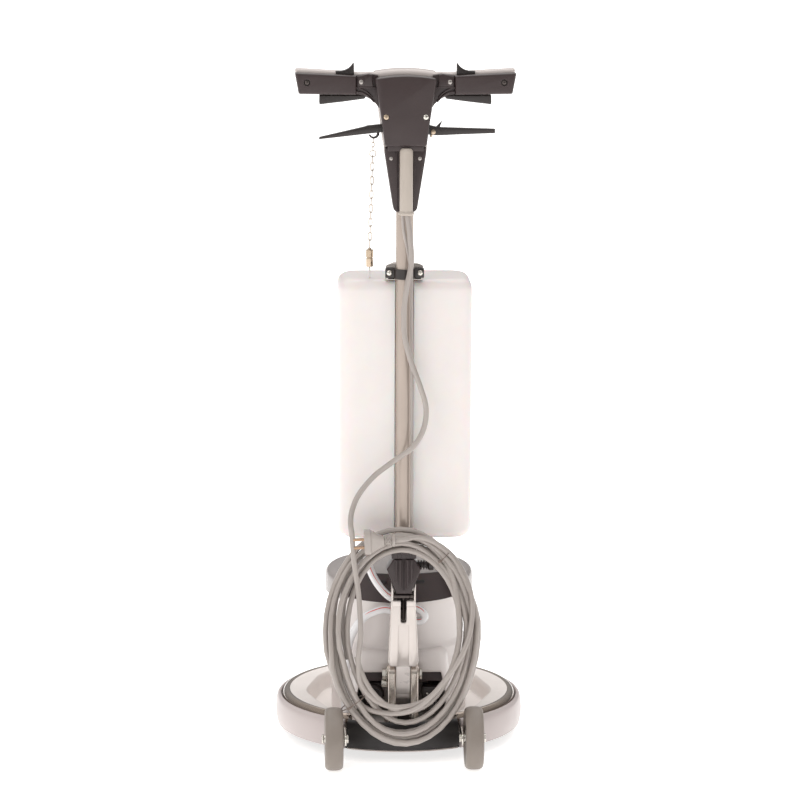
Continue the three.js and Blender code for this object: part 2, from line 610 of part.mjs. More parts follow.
function buildDrive() {
  const drive = group(machine);
  add(drive, 'stator', statorCan(), MATERIAL.steel);
  add(drive, 'gear_housing', gearHousing(), MATERIAL.casting);
  add(drive, 'ring_gear', ringGear(), MATERIAL.steel);
  add(drive, 'rotor', rotor(), MATERIAL.copper);
  add(drive, 'sun_gear', spurGear(GEAR.sun, 4.2, [GEAR.z0, GEAR.z1 + 1]), MATERIAL.steel);
  add(drive, 'planet_carrier', planetCarrier(), MATERIAL.steel);
  planetAngles().forEach((angle, i) => {
    const gear = spurGear(GEAR.planet, 5, [GEAR.z0, GEAR.z1]);
    const mesh = add(drive, `planet_gear_${i + 1}`, gear, MATERIAL.steel, [...at(angle, CENTRE_DISTANCE), 0]);
    mesh.rotation.z = angle + Math.PI / GEAR.planet;
  });
  add(drive, 'drive_plate', drivePlate(), MATERIAL.steel);
  add(drive, 'pad_driver', padDriver(), MATERIAL.dark);
  add(drive, 'pad_grip_face', padGripFace(), MATERIAL.black);
}

function buildHandle() {
  const handle = group(machine, HANDLE_X);
  add(handle, 'arm_casting', armCasting(), MATERIAL.aluminium);
  add(handle, 'foot_socket', footSocket(), MATERIAL.dark);
  add(handle, 'cross_pin', crossPin(), MATERIAL.steel);
  add(handle, 'lock_rod', lockRod(), MATERIAL.steel);
  add(handle, 'pole_tube', poleTube(), MATERIAL.pole, [0, POLE.y, 0]);
  add(handle, 'cord_hook', cordHook(), MATERIAL.dark);
  add(handle, 'cable_gland', cableGland(), MATERIAL.black);
  add(handle, 'solution_tank', solutionTank(), MATERIAL.tank);
  add(handle, 'tank_cap', tankCap(), MATERIAL.shell, [0, -90, 0]);
  add(handle, 'clamp_bracket', clampBracket(), MATERIAL.shell);
  add(handle, 'clamp_strap', clampStrap(), MATERIAL.black);
  add(handle, 'hose_upper', hoseUpper(), MATERIAL.hose);
  for (const [label, side] of [['left', -1], ['right', 1]]) {
    add(handle, `clamp_screw_${label}`, bar('y', 4, [-158.6, -155.3], [side * 26, 844], 16), MATERIAL.zinc);
  }
}

function buildConsole() {
  const console_ = group(machine, HANDLE_X);
  add(console_, 'console_shell', consoleShell(), MATERIAL.shell);
  add(console_, 'rear_cover', rearCover(), MATERIAL.dark);
  add(console_, 'stem_cover', stemCover(), MATERIAL.dark);
  add(console_, 'cord_boot', cordBoot(), MATERIAL.cord);
  for (const [label, side] of [['left', -1], ['right', 1]]) {
    add(console_, `grip_${label}`, rightGrip().scale(side, 1, 1), MATERIAL.dark);
    const trigger = prism('y', triggerOutline, [-160, -140]).scale(side, 1, 1);
    add(console_, `trigger_${label}`, trigger, MATERIAL.black);
    add(console_, `button_${label}`, prism('y', buttonOutline, [-157, -143]).scale(side, 1, 1), MATERIAL.black);
  }
  add(console_, 'solution_lever', solutionLever(), MATERIAL.black);
  add(console_, 'lock_lever', lockLever(), MATERIAL.black);
  add(console_, 'valve_chain', valveChain(), MATERIAL.zinc);
  add(console_, 'valve_plunger', valvePlunger(), MATERIAL.brass);
}

function buildCord() {
  const cord = group(machine);
  add(cord, 'power_cord', powerCord(), MATERIAL.cord);
  add(cord, 'cord_coil', cordCoil(), MATERIAL.cord);
  add(cord, 'plug', plug(), MATERIAL.cord);
}

buildBase();
buildDrive();
buildHandle();
buildConsole();
buildCord();
machine.position.y = FOOTPRINT_SHIFT;

export default machine;
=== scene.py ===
"""The rotary floor machine's looks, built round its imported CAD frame. Shapes are drawn in millimetres."""

import json
import math

import bmesh
import bpy
from mathutils import Matrix, Vector

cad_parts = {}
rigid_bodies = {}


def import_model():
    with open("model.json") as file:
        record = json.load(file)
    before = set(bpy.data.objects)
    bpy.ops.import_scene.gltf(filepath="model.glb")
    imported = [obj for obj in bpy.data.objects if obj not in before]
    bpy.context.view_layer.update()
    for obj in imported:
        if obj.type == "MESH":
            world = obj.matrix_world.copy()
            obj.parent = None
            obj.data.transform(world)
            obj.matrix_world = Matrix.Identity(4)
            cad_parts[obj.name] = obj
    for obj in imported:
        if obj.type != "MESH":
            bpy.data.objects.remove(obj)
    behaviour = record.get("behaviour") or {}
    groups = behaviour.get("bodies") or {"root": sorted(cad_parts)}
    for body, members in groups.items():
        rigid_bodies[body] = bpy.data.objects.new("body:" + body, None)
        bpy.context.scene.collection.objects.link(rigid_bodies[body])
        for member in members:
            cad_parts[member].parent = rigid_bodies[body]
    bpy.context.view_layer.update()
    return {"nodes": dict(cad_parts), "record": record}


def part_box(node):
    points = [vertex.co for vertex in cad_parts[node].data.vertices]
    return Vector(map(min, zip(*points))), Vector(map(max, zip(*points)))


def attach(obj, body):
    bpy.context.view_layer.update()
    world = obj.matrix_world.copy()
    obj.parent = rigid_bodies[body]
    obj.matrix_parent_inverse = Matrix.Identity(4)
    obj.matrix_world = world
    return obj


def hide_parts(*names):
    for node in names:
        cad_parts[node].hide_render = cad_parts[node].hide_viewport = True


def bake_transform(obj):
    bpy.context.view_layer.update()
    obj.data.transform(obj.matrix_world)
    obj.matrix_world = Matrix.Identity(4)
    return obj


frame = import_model()
MM = 0.001
TAU = 2 * math.pi


# ---- places, from the frame
behaviour = frame["record"]["behaviour"]
BODY_OF = {node: body for body, nodes in behaviour["bodies"].items() for node in nodes}
CARRIED = {joint["child"] for joint in behaviour["joints"] if joint["parent"] == "handle"}
ON_HANDLE = {"handle"} | CARRIED - {"cord_coil"}  # bodies drawn round the middle of the pole
HANDLE_X = (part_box("pole_tube")[0].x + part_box("pole_tube")[1].x) / 2 / MM
TO_HANDLE = Vector((HANDLE_X, 0, 0))
SIDES = ((-1, "left"), (1, "right"))


def span(node):
    """A CAD node's lowest and highest corners in millimetres. The handle's nodes have the pole at x = 0."""
    low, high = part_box(node)
    shift = TO_HANDLE if BODY_OF[node] in ON_HANDLE else Vector()
    return low / MM - shift, high / MM - shift


def middle(node):
    low, high = span(node)
    return (low + high) / 2


DRIVE = middle("pad_driver")
POLE = middle("pole_tube")
SKIRT_LOW, SKIRT_HIGH = span("skirt_shroud")
SKIRT_R = (SKIRT_HIGH.x - SKIRT_LOW.x) / 2
POLE_R = 15  # the handle tube's radius, in millimetres
DRIVE_AXIS, POLE_AXIS = (DRIVE.x, DRIVE.y), (POLE.x, POLE.y)


# ---- shapes: (points, faces) pairs
def merge(*shapes):
    points, faces = [], []
    for shape_points, shape_faces in shapes:
        start = len(points)
        points += shape_points
        faces += [tuple(start + i for i in face) for face in shape_faces]
    return points, faces


def moved(shape, x=0.0, y=0.0, z=0.0):
    points, faces = shape
    return [(a + x, b + y, c + z) for a, b, c in points], faces


def turned_about(shape, centre, axis, angle):
    """The shape turned by an angle in radians about an axis through a point."""
    points, faces = shape
    spin = Matrix.Rotation(angle, 3, axis)
    hub = Vector(centre)
    return [tuple(spin @ (Vector(p) - hub) + hub) for p in points], faces


def loft(rings, capped=True, joined=False):
    """Skin through rings of the same count. joined closes the last ring on to the first."""
    count = len(rings[0])
    points = [tuple(p) for ring in rings for p in ring]
    faces = []
    last = len(rings) if joined else len(rings) - 1
    for i in range(last):
        a, b = i * count, ((i + 1) % len(rings)) * count
        for j in range(count):
            k = (j + 1) % count
            faces.append((a + j, a + k, b + k, b + j))
    if capped and not joined:
        faces.append(tuple(reversed(range(count))))
        faces.append(tuple(range(last * count, (last + 1) * count)))
    return points, faces


def rounded(corners, radius, steps=4):
    """A closed outline with its corners rounded. radius is one number, or one for each corner."""
    radii = radius if isinstance(radius, (list, tuple)) else [radius] * len(corners)
    outline = []
    for i, r in enumerate(radii):
        before, corner, after = (Vector(corners[(i + k) % len(corners)]) for k in (-1, 0, 1))
        if r <= 0:
            outline.append(tuple(corner))
            continue
        back, forward = before - corner, after - corner
        cut = min(r, 0.45 * back.length, 0.45 * forward.length)
        start, end = corner + back.normalized() * cut, corner + forward.normalized() * cut
        for k in range(steps + 1):
            t = k / steps
            outline.append(tuple((1 - t) ** 2 * start + 2 * t * (1 - t) * corner + t * t * end))
    return outline


def inset(outline, depth):
    """The outline moved inwards by depth."""
    count = len(outline)
    area = sum(outline[i - 1][0] * outline[i][1] - outline[i][0] * outline[i - 1][1] for i in range(count))
    sign = 1 if area > 0 else -1
    result = []
    for i in range(count):
        before, here, after = (Vector(outline[(i + k) % count]) for k in (-1, 0, 1))
        first, second = (here - before), (after - here)
        if first.length < 1e-6 or second.length < 1e-6:
            first = second = after - before
        first, second = first.normalized(), second.normalized()
        bisector = (first + second).normalized()
        inward = Vector((-bisector.y, bisector.x)) * sign
        stretch = 1 / max(0.5, first.dot(bisector))
        result.append(tuple(here + inward * depth * stretch))
    return result


def axis_point(axis, a, b, along):
    return {"x": (along, a, b), "y": (a, along, b), "z": (a, b, along)}[axis]


def slab(corners, axis, limits, edge=1.5, radius=0.0, steps=3):
    """A prism along an axis, between two limits. Its edges are rounded, and radius is as for rounded()."""
    low, high = limits
    turns = [k / steps * math.pi / 2 for k in range(steps + 1)]
    levels = [(edge * (1 - math.sin(t)), low + edge * (1 - math.cos(t))) for t in turns]
    levels += [(depth, high + low - along) for depth, along in reversed(levels)]
    rings = []
    for depth, along in levels:
        outline = inset(corners, depth)
        if radius:
            radii = radius if isinstance(radius, (list, tuple)) else [radius] * len(corners)
            outline = rounded(outline, [max(0.2, r - depth) if r else 0 for r in radii])
        rings.append([axis_point(axis, a, b, along) for a, b in outline])
    return loft(rings)


def plate(x, y, z, corner=2.0, edge=1.0, axis="y"):
    """A rounded block from three (low, high) pairs, drawn as a slab along an axis."""
    sides = {"x": (y, z, x), "y": (x, z, y), "z": (x, y, z)}[axis]
    (a0, a1), (b0, b1), limits = sides
    return slab([(a0, b0), (a1, b0), (a1, b1), (a0, b1)], axis, limits, edge, corner)


def lathe(profile, centre=(0, 0), axis="z", segments=96):
    """A (radius, height) profile turned about an axis. Its ends are on the axis, or it closes on itself."""
    a0, b0 = centre
    on_axis = profile[0][0] < 1e-6
    rings = []
    for s in range(segments):
        c, n = math.cos(TAU * s / segments), math.sin(TAU * s / segments)
        rings.append([axis_point(axis, a0 + r * c, b0 + r * n, h) for r, h in profile])
    points = [p for ring in rings for p in ring]
    count = len(profile)
    faces = []
    for s in range(segments):
        a, b = s * count, ((s + 1) % segments) * count
        for j in range(count - 1 if on_axis else count):
            k = (j + 1) % count
            faces.append((a + j, b + j, b + k, a + k))
    return points, faces


def arc_angles(start, end, step=3.0):
    """Angles in radians from start to end, which are in degrees, in even steps of about step."""
    count = max(2, round(abs(end - start) / step))
    return [math.radians(start + (end - start) * k / count) for k in range(count + 1)]


def arc(centre, radius, start, end, step):
    return [(centre[0] + radius * math.cos(a), centre[1] + radius * math.sin(a))
            for a in arc_angles(start, end, step)]


def polar(profiles, angles, centre, closed=True):
    """Closed (radius, height) profiles, one at each angle, skinned and capped when not closed all round."""
    rings = [[(centre.x + r * math.cos(a), centre.y + r * math.sin(a), h) for r, h in profile]
             for profile, a in zip(profiles, angles)]
    return loft(rings, capped=not closed, joined=closed)


def both_ends(flank, low, high):
    """A (radius, height) profile from a flank of (radius, depth) pairs, mirrored at the high end."""
    return [(r, low + depth) for r, depth in flank] + [(r, high - depth) for r, depth in reversed(flank)]


def rod(axis, radius, limits, centre, edge=0.6, sides=32):
    """A round bar with rounded ends."""
    flank = [(0, 0), (radius - edge, 0), (radius - edge * 0.3, edge * 0.3), (radius, edge)]
    return lathe(both_ends(flank, *limits), centre, axis, sides)


def drill(axis, radius, limits, centre, sides=48):
    """A plain round bar that cuts a hole."""
    return lathe(both_ends([(0, 0), (radius, 0)], *limits), centre, axis, sides)


def hex_nut(axis, radius, limits, centre, edge=0.8):
    a0, b0 = centre
    corners = [(a0 + radius * math.cos(k * TAU / 6), b0 + radius * math.sin(k * TAU / 6)) for k in range(6)]
    return slab(corners, axis, limits, edge, 1.0)


def smooth_path(points, per_span=8, closed=False):
    """Points along a Catmull-Rom curve."""
    count = len(points)
    vectors = [Vector(p) for p in points]

    def at(i):
        return vectors[i % count] if closed else vectors[min(max(i, 0), count - 1)]

    path = []
    for i in range(count if closed else count - 1):
        p0, p1, p2, p3 = at(i - 1), at(i), at(i + 1), at(i + 2)
        for k in range(per_span):
            t = k / per_span
            path.append(0.5 * (2 * p1 + (p2 - p0) * t + (2 * p0 - 5 * p1 + 4 * p2 - p3) * t * t
                               + (3 * p1 - p0 - 3 * p2 + p3) * t ** 3))
    return path if closed else path + [vectors[-1]]


def sweep(path, radius, sides=12, closed=False):
    """A round tube along a path. radius is a number, or a function of the share of the path."""
    count = len(path)
    normal = None
    rings = []
    for i, point in enumerate(path):
        ahead = path[(i + 1) % count] if closed or i < count - 1 else point
        behind = path[i - 1] if closed or i > 0 else point
        tangent = (ahead - behind).normalized()
        if normal is None:
            normal = tangent.orthogonal().normalized()
        normal = (normal - tangent * normal.dot(tangent)).normalized()
        side = tangent.cross(normal)
        r = radius(i / (count - 1)) if callable(radius) else radius
        turns = [TAU * k / sides for k in range(sides)]
        rings.append([tuple(point + (normal * math.cos(turn) + side * math.sin(turn)) * r) for turn in turns])
    return loft(rings, capped=not closed, joined=closed)


# ---- materials
def node_of(tree, kind, **values):
    node = tree.nodes.new(kind)
    for key, value in values.items():
        setattr(node, key, value)
    return node


def noise(tree, scale, detail=3.0, stretch=(1, 1, 1)):
    """A noise texture in the frame's own metres."""
    coordinates = node_of(tree, "ShaderNodeTexCoord")
    mapping = node_of(tree, "ShaderNodeMapping")
    mapping.inputs["Scale"].default_value = stretch
    texture = node_of(tree, "ShaderNodeTexNoise")
    texture.inputs["Scale"].default_value = scale
    texture.inputs["Detail"].default_value = detail
    tree.links.new(coordinates.outputs["Object"], mapping.inputs["Vector"])
    tree.links.new(mapping.outputs["Vector"], texture.inputs["Vector"])
    return texture.outputs["Fac"]


def ramp(tree, value, target, source=(0.3, 0.7)):
    """The value, mapped from one range to another. Most of a noise texture's values are from 0.3 to 0.7."""
    scale = node_of(tree, "ShaderNodeMapRange")
    for key, number in zip(("From Min", "From Max", "To Min", "To Max"), (*source, *target)):
        scale.inputs[key].default_value = number
    tree.links.new(value, scale.inputs["Value"])
    return scale.outputs["Result"]


FIRST_COLOR, SECOND_COLOR, MIXED = 6, 7, 2  # sockets of a colour mix


def finish_of(name, slot, color, roughness, metallic=0.0, mottle=0.04, grain=900, bump=0.12,
              stretch=(1, 1, 1), wear_and_highlight=0.0, **inputs):
    """A procedural finish: cloudy colour, uneven roughness and a fine grain in the surface."""
    material = bpy.data.materials.new(name)
    material.use_nodes = True
    tree = material.node_tree
    shader = tree.nodes["Principled BSDF"]
    dark = [c * (1 - mottle) for c in color] + [1]
    light = [min(1, c * (1 + mottle)) for c in color] + [1]
    mix = node_of(tree, "ShaderNodeMix", data_type="RGBA")
    mix.inputs[FIRST_COLOR].default_value = dark
    mix.inputs[SECOND_COLOR].default_value = light
    tree.links.new(ramp(tree, noise(tree, 22, 4), (0, 1)), mix.inputs["Factor"])
    base = mix.outputs[MIXED]
    # Sharp edges made paler: painted highlight along the bevels, and some rubbed wear.
    if wear_and_highlight:
        base = worn_and_highlit_edges(tree, base, light, wear_and_highlight)
    tree.links.new(base, shader.inputs["Base Color"])
    spread = 0.12 * roughness
    uneven = ramp(tree, noise(tree, 60, 5), (roughness - spread, roughness + spread))
    tree.links.new(uneven, shader.inputs["Roughness"])
    bumps = node_of(tree, "ShaderNodeBump")
    bumps.inputs["Strength"].default_value = bump
    bumps.inputs["Distance"].default_value = 0.0004
    tree.links.new(noise(tree, grain, 2, stretch), bumps.inputs["Height"])
    tree.links.new(bumps.outputs["Normal"], shader.inputs["Normal"])
    shader.inputs["Metallic"].default_value = metallic
    for key, value in inputs.items():
        shader.inputs[key.replace("_", " ")].default_value = value
    return material


def worn_and_highlit_edges(tree, base, light, amount):
    """Edges paler where the surface turns sharply: a painted highlight along the bevels, and some rubbed
    wear.
    """
    geometry = node_of(tree, "ShaderNodeNewGeometry")
    bevel = node_of(tree, "ShaderNodeBevel", samples=4)
    bevel.inputs["Radius"].default_value = 0.0012
    dot = node_of(tree, "ShaderNodeVectorMath", operation="DOT_PRODUCT")
    tree.links.new(bevel.outputs["Normal"], dot.inputs[0])
    tree.links.new(geometry.outputs["Normal"], dot.inputs[1])
    mix = node_of(tree, "ShaderNodeMix", data_type="RGBA")
    mix.inputs[SECOND_COLOR].default_value = [min(1, c * 1.6 + 0.05) for c in light[:3]] + [1]
    tree.links.new(ramp(tree, dot.outputs["Value"], (0, amount), (0.995, 0.9)), mix.inputs["Factor"])
    tree.links.new(base, mix.inputs[FIRST_COLOR])
    return mix.outputs[MIXED]


SKIRT = finish_of("skirt_plastic", "skirt", (0.50, 0.44, 0.43), 0.34, mottle=0.02, grain=700, bump=0.04,
                  Coat_Weight=0.15)
COVER = finish_of("cover_plastic", "cover", (0.70, 0.65, 0.63), 0.34, mottle=0.015, bump=0.0)
# The lid is coloured much darker than the cover's wall: a painted dark reflection on its glossy rounded edge,
# and painted shade that tones down its lit top.
LID_SHADE_AND_REFLECTION = finish_of("lid_painted_shade_and_reflection", "cover", (0.30, 0.27, 0.26), 0.24, mottle=0.02, bump=0.0, Coat_Weight=0.2)
CASTING = finish_of("base_paint", "casting", (0.82, 0.77, 0.74), 0.24, mottle=0.015, grain=900, bump=0.03)
# The rim bead's dark brown colour is a painted reflection: the dark surroundings seen in the polished bead.
RIM_PAINTED_REFLECTION = finish_of("rim_painted_reflection", "casting", (0.27, 0.215, 0.175), 0.12, metallic=0.8, mottle=0.05, bump=0.02,
                Coat_Weight=0.6)
ALUMINIUM = finish_of("polished_aluminium", "aluminium", (0.64, 0.585, 0.555), 0.22, metallic=0.5,
                      mottle=0.05, grain=160, bump=0.1)
# The tongue's copy of the aluminium is lighter and less metallic: painted light on a part that sits in shade.
TONGUE_PAINTED_LIGHT = finish_of("tongue_painted_light", "aluminium", (0.82, 0.76, 0.73), 0.3, metallic=0.2, mottle=0.02,
                     grain=300, bump=0.02)
KNUCKLE = finish_of("cast_knuckle", "aluminium", (0.66, 0.59, 0.53), 0.18, metallic=0.9, mottle=0.04,
                    grain=500, bump=0.01)
ZINC = finish_of("zinc_plate", "zinc", (0.66, 0.63, 0.58), 0.2, metallic=1, mottle=0.08, grain=1200, bump=0.1)
STEEL = finish_of("machined_steel", "steel", (0.42, 0.39, 0.37), 0.3, metallic=1, mottle=0.06, grain=500,
                  bump=0.15)
BRASS = finish_of("dull_brass", "brass", (0.50, 0.40, 0.30), 0.26, metallic=1, mottle=0.1, grain=900,
                  bump=0.1)
LINK = finish_of("chain_wire", "zinc", (0.52, 0.45, 0.38), 0.3, metallic=0.8, mottle=0.1, grain=900, bump=0.1)
SCREW_DARK = finish_of("blackened_screw", "steel", (0.10, 0.085, 0.08), 0.3, metallic=0.9, mottle=0.06,
                       grain=700, bump=0.1)
PRONG = finish_of("plug_prong", "brass", (0.36, 0.24, 0.16), 0.3, metallic=0.9, mottle=0.06, grain=700,
                  bump=0.06)
COPPER = finish_of("varnished_windings", "copper", (0.42, 0.17, 0.07), 0.4, metallic=0.7, mottle=0.2,
                   grain=400, bump=0.4, stretch=(1, 1, 0.1))
DARK = finish_of("dark_plastic", "dark", (0.033, 0.019, 0.019), 0.36, mottle=0.06, grain=1500, bump=0.16,
                 wear_and_highlight=0.4)
BLACK = finish_of("black_plastic", "black", (0.024, 0.018, 0.017), 0.34, mottle=0.1, grain=1500, bump=0.14,
                  wear_and_highlight=0.3)
PANEL_BLACK = finish_of("black_panel", "black", (0.012, 0.009, 0.009), 0.5, mottle=0.08, grain=1200, bump=0.1,
                        wear_and_highlight=0.15)
SHADE_GREY = finish_of("back_plate", "dark", (0.044, 0.029, 0.029), 0.4, mottle=0.05, grain=900, bump=0.08)
SHELL = finish_of("shell_plastic", "shell", (0.60, 0.54, 0.515), 0.34, mottle=0.02, grain=1100, bump=0.06)
BRACKET = finish_of("bracket_metal", "shell", (0.44, 0.405, 0.38), 0.26, metallic=0.7, mottle=0.05, grain=900,
                    bump=0.04)
BOOT = finish_of("boot_rubber", "cord", (0.46, 0.405, 0.355), 0.36, mottle=0.03, grain=900, bump=0.08)
POLE_PAINT = finish_of("pole_paint", "pole", (0.41, 0.345, 0.30), 0.24, metallic=0.35, mottle=0.03,
                       grain=1500, bump=0.06)
CORD = finish_of("cord_sheath", "cord", (0.355, 0.315, 0.29), 0.32, mottle=0.05, grain=500, bump=0.08,
                 Coat_Weight=0.35)
TIE = finish_of("twist_tie", "black", (0.16, 0.12, 0.10), 0.5, mottle=0.1, grain=900, bump=0.3)
TANK = finish_of("tank_plastic", "tank", (0.765, 0.725, 0.71), 0.34, mottle=0.012, grain=260, bump=0.04,
                 Subsurface_Weight=0.35, Subsurface_Scale=0.02)
TYRE = finish_of("grey_rubber", "tyre", (0.232, 0.198, 0.172), 0.45, mottle=0.06, grain=500, bump=0.25)
HUB = finish_of("hub_plastic", "tyre", (0.30, 0.27, 0.245), 0.45, mottle=0.04, grain=900, bump=0.15)
HOSE = finish_of("milky_hose", "hose", (0.84, 0.83, 0.84), 0.2, mottle=0.02, grain=400, bump=0.06,
                 Coat_Weight=0.3)
STRIPE = finish_of("red_stripe", "hose", (0.62, 0.10, 0.08), 0.3, mottle=0.06, grain=600, bump=0.05)
BRISTLE = finish_of("hooked_face", "black", (0.05, 0.045, 0.045), 0.7, mottle=0.3, grain=1800, bump=0.9)


# ---- pieces
SHARP = math.radians(32)  # the least angle between two faces that is shaded as an edge


def added(name, data):
    """A new object in the scene."""
    obj = bpy.data.objects.new(name, data)
    bpy.context.scene.collection.objects.link(obj)
    return obj


def solid(name, shape, *materials, paint=None):
    """A mesh object from a shape. paint(centre) picks the material of a face by its number."""
    points, faces = shape
    mesh = bpy.data.meshes.new(name)
    mesh.from_pydata([(x * MM, y * MM, z * MM) for x, y, z in points], [], faces)
    work = bmesh.new()
    work.from_mesh(mesh)
    bmesh.ops.remove_doubles(work, verts=work.verts, dist=1e-6)
    bmesh.ops.dissolve_degenerate(work, edges=work.edges, dist=1e-7)
    bmesh.ops.recalc_face_normals(work, faces=work.faces)
    for face in work.faces:
        face.smooth = True
        if paint:
            face.material_index = paint(face.calc_center_median() / MM)
    work.to_mesh(mesh)
    work.free()
    mesh.set_sharp_from_angle(angle=SHARP)
    for material in materials:
        mesh.materials.append(material)
    obj = added(name, mesh)
    return obj


def applied(obj):
    """The object with its modifiers worked into its mesh."""
    bpy.context.view_layer.update()
    result = bpy.data.meshes.new_from_object(obj.evaluated_get(bpy.context.evaluated_depsgraph_get()))
    obj.modifiers.clear()
    obj.data = result
    obj.data.set_sharp_from_angle(angle=SHARP)
    return obj


def carved(obj, *cutters):
    """The object with each cutter shape taken away."""
    for cutter in cutters:
        tool = solid(f"{obj.name}_cutter", cutter, obj.data.materials[0])
        modifier = obj.modifiers.new("cut", "BOOLEAN")
        modifier.operation = "DIFFERENCE"
        modifier.solver = "EXACT"
        modifier.object = tool
        applied(obj)
        bpy.data.objects.remove(tool)
    return obj


def softened(obj, width, segments=2, angle=40):
    """Sharp edges rounded by width, in millimetres."""
    modifier = obj.modifiers.new("soft", "BEVEL")
    modifier.width = width * MM
    modifier.segments = segments
    modifier.limit_method = "ANGLE"
    modifier.angle_limit = math.radians(angle)
    modifier.use_clamp_overlap = True
    modifier.harden_normals = False
    return applied(obj)


def put(obj, body, *nodes):
    """The piece rides on a body and stands for CAD nodes."""
    if body in ON_HANDLE:
        obj.data.transform(Matrix.Translation(TO_HANDLE * MM))
    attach(obj, body)
    if nodes:
        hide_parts(*nodes)
    return obj


def piece(name, shape, material, body, *nodes, cut=()):
    """A finished shape, with other shapes cut from it, that rides on a body and stands for CAD nodes."""
    return put(carved(solid(name, shape, material), *cut), body, *nodes)


# ---- base: skirt and rear panel
def skirt_profile(radius, low, high):
    """The bulged wall of the skirt, with a rolled top and a thin inner face."""
    bulge, waist, reach = 6, 46, 32  # the wall is widest at the waist, and narrower by bulge at reach from it
    outer = [(radius - bulge * ((z - waist) / reach) ** 2, z) for z in (low + 1, 24, 30, 38, 46, 54, 60, 65)]
    roll = [(radius - 3.6, 68.5), (radius - 5.4, 70.8), (radius - 7.6, high), (radius - 9.2, high - 0.6),
            (radius - 10.2, high - 2)]
    inner = [(radius - 9.6, 64), (radius - 7.4, 54), (radius - 6.6, 46), (radius - 7.4, 34),
             (radius - 9.5, low + 1)]
    return outer + roll + inner + [(radius - 8.6, low), (radius - 5.2, low)]


def wall_round(profile, start, end, centre=DRIVE, step=2.4):
    """A profile carried round an upright axis between two angles in degrees."""
    angles = arc_angles(start, end, step)
    return polar([profile] * len(angles), angles, centre, closed=False)


def build_skirt():
    low, high = SKIRT_LOW.z, SKIRT_HIGH.z
    gap = math.degrees(math.asin(103 / SKIRT_R))  # half of the gap that the wheels stand in
    wall = wall_round(skirt_profile(SKIRT_R, low, high), -90 + gap, 270 - gap)
    piece("skirt", wall, SKIRT, "base", "skirt_shroud")
    half = math.degrees(math.asin(span("rear_panel")[1].x / SKIRT_R))
    panel = wall_round(skirt_profile(SKIRT_R - 0.8, low + 3.2, high), -90 - half, -90 + half)
    piece("panel_between_wheels", panel, PANEL_BLACK, "base", "rear_panel")
    outer, inner = SKIRT_R - 4.6, SKIRT_R - 9
    lip = [(outer, low), (SKIRT_R - 3.4, low + 1.4), (outer, low + 2.8), (inner, low + 2.8), (inner, low)]
    piece("panel_lip", wall_round(lip, -90 - half, -90 + half), SHELL, "base")


# ---- base: the casting with its well
WELL_MOUTH = 92  # half width of the well where it opens to the back
WELL = [(WELL_MOUTH, -218), (WELL_MOUTH, -150), (121, -128), (161, -13), (133, 100), (75, 160)]


def well_radius(angle):
    """Distance from the drive axis to the rounded wall of the well, at an angle."""
    ray = Vector((math.cos(angle), math.sin(angle)))
    for a, b in zip(WELL_OUTLINE, WELL_OUTLINE[1:] + WELL_OUTLINE[:1]):
        start, edge = Vector(a), Vector(b) - Vector(a)
        across = ray.x * edge.y - ray.y * edge.x
        if abs(across) < 1e-9:
            continue
        along = (start.x * edge.y - start.y * edge.x) / across
        share = (start.x * ray.y - start.y * ray.x) / across
        if along > 0 and -1e-6 <= share <= 1 + 1e-6:
            return along
    return SKIRT_R


WELL_OUTLINE = rounded(WELL + [(-x, y) for x, y in reversed(WELL)],
                       [0, 12, 16, 26, 26, 26, 26, 26, 26, 16, 12, 0], 6)


def casting_profile(angle, wall=True):
    """Section of the casting: the well's floor and wall, the flat top and the rounded bead at the rim."""
    low, high = span("base_casting")
    floor = low.z + 6
    rim = high.x
    edge = min(well_radius(angle), rim - 1)
    top = high.z - 1 if wall else floor
    crest = high.z if wall else floor
    rows = [(50, floor), (edge - 14, floor), (edge - 3, floor + 1), (edge, floor + 5), (edge + 2, top - 11),
            (edge + 3.5, top - 5), (edge + 6.5, top - 1.4), (edge + 11, top)]
    rows += [(rim - 14, top), (rim - 11.5, crest - 0.3), (rim - 9, crest), (rim - 6.2, crest - 0.9),
             (rim - 3.4, crest - 3.2), (rim - 1.4, crest - 6.4), (rim - 0.2, crest - 10.5),
             (rim - 0.2, crest - 14)]
    rows += [(rim - 3, crest - 14), (rim - 4, crest - 7), (rim - 14, top - 4), (edge + 8, top - 4),
             (edge + 5, low.z + 1)]
    outer = rows if wall else [(r, min(max(z, low.z), floor)) for r, z in rows]
    limited = [(min(r, rim - 0.1), z) for r, z in outer]
    return limited + [(edge + 4, low.z), (50, low.z)]


def build_casting():
    rim = span("base_casting")[1].x
    gap = math.degrees(math.asin(WELL_MOUTH / rim)) + 0.2
    walled = arc_angles(-90 + gap, 270 - gap, 1.6)
    bare = arc_angles(270 - gap, 270 + gap, 3)
    profiles = [casting_profile(a) for a in walled] + [casting_profile(a, wall=False) for a in bare]

    def paint(centre):
        """The bead at the rim is polished metal whose dark brown colour is a painted dark reflection; the
        rest has the base paint.
        """
        away = math.hypot(centre.x - DRIVE.x, centre.y - DRIVE.y)
        return int(away > rim - 13.5 and centre.z > 60)

    shape = polar(profiles, walled + bare, DRIVE, closed=True)
    put(solid("casting", shape, CASTING, RIM_PAINTED_REFLECTION, paint=paint), "base", "base_casting")


# ---- base: motor cover
LID_SECTOR = 53  # half angle of the sloping panel at the back of the lid, in degrees
# The opening at the back, with a notch for the tongue of the arm when the handle is tilted.
ARCH = [(-78, 20), (-78, 100), (-70, 141), (-15, 141), (-15, 154), (15, 154), (15, 141), (70, 141), (78, 100),
        (78, 20)]


def lid_size():
    """Radius and height of the lid."""
    high = span("motor_cover")[1]
    return high.x, high.z


def slope_row(off_axis, shift=0.0):
    """The (radius, height) ends of the sloping face, at an angle in degrees from straight back."""
    top = lid_size()[1]
    share = (off_axis / LID_SECTOR) ** 2
    return (112.6 + shift, top - 43), (72 + 18 * share + shift, top - 0.2)


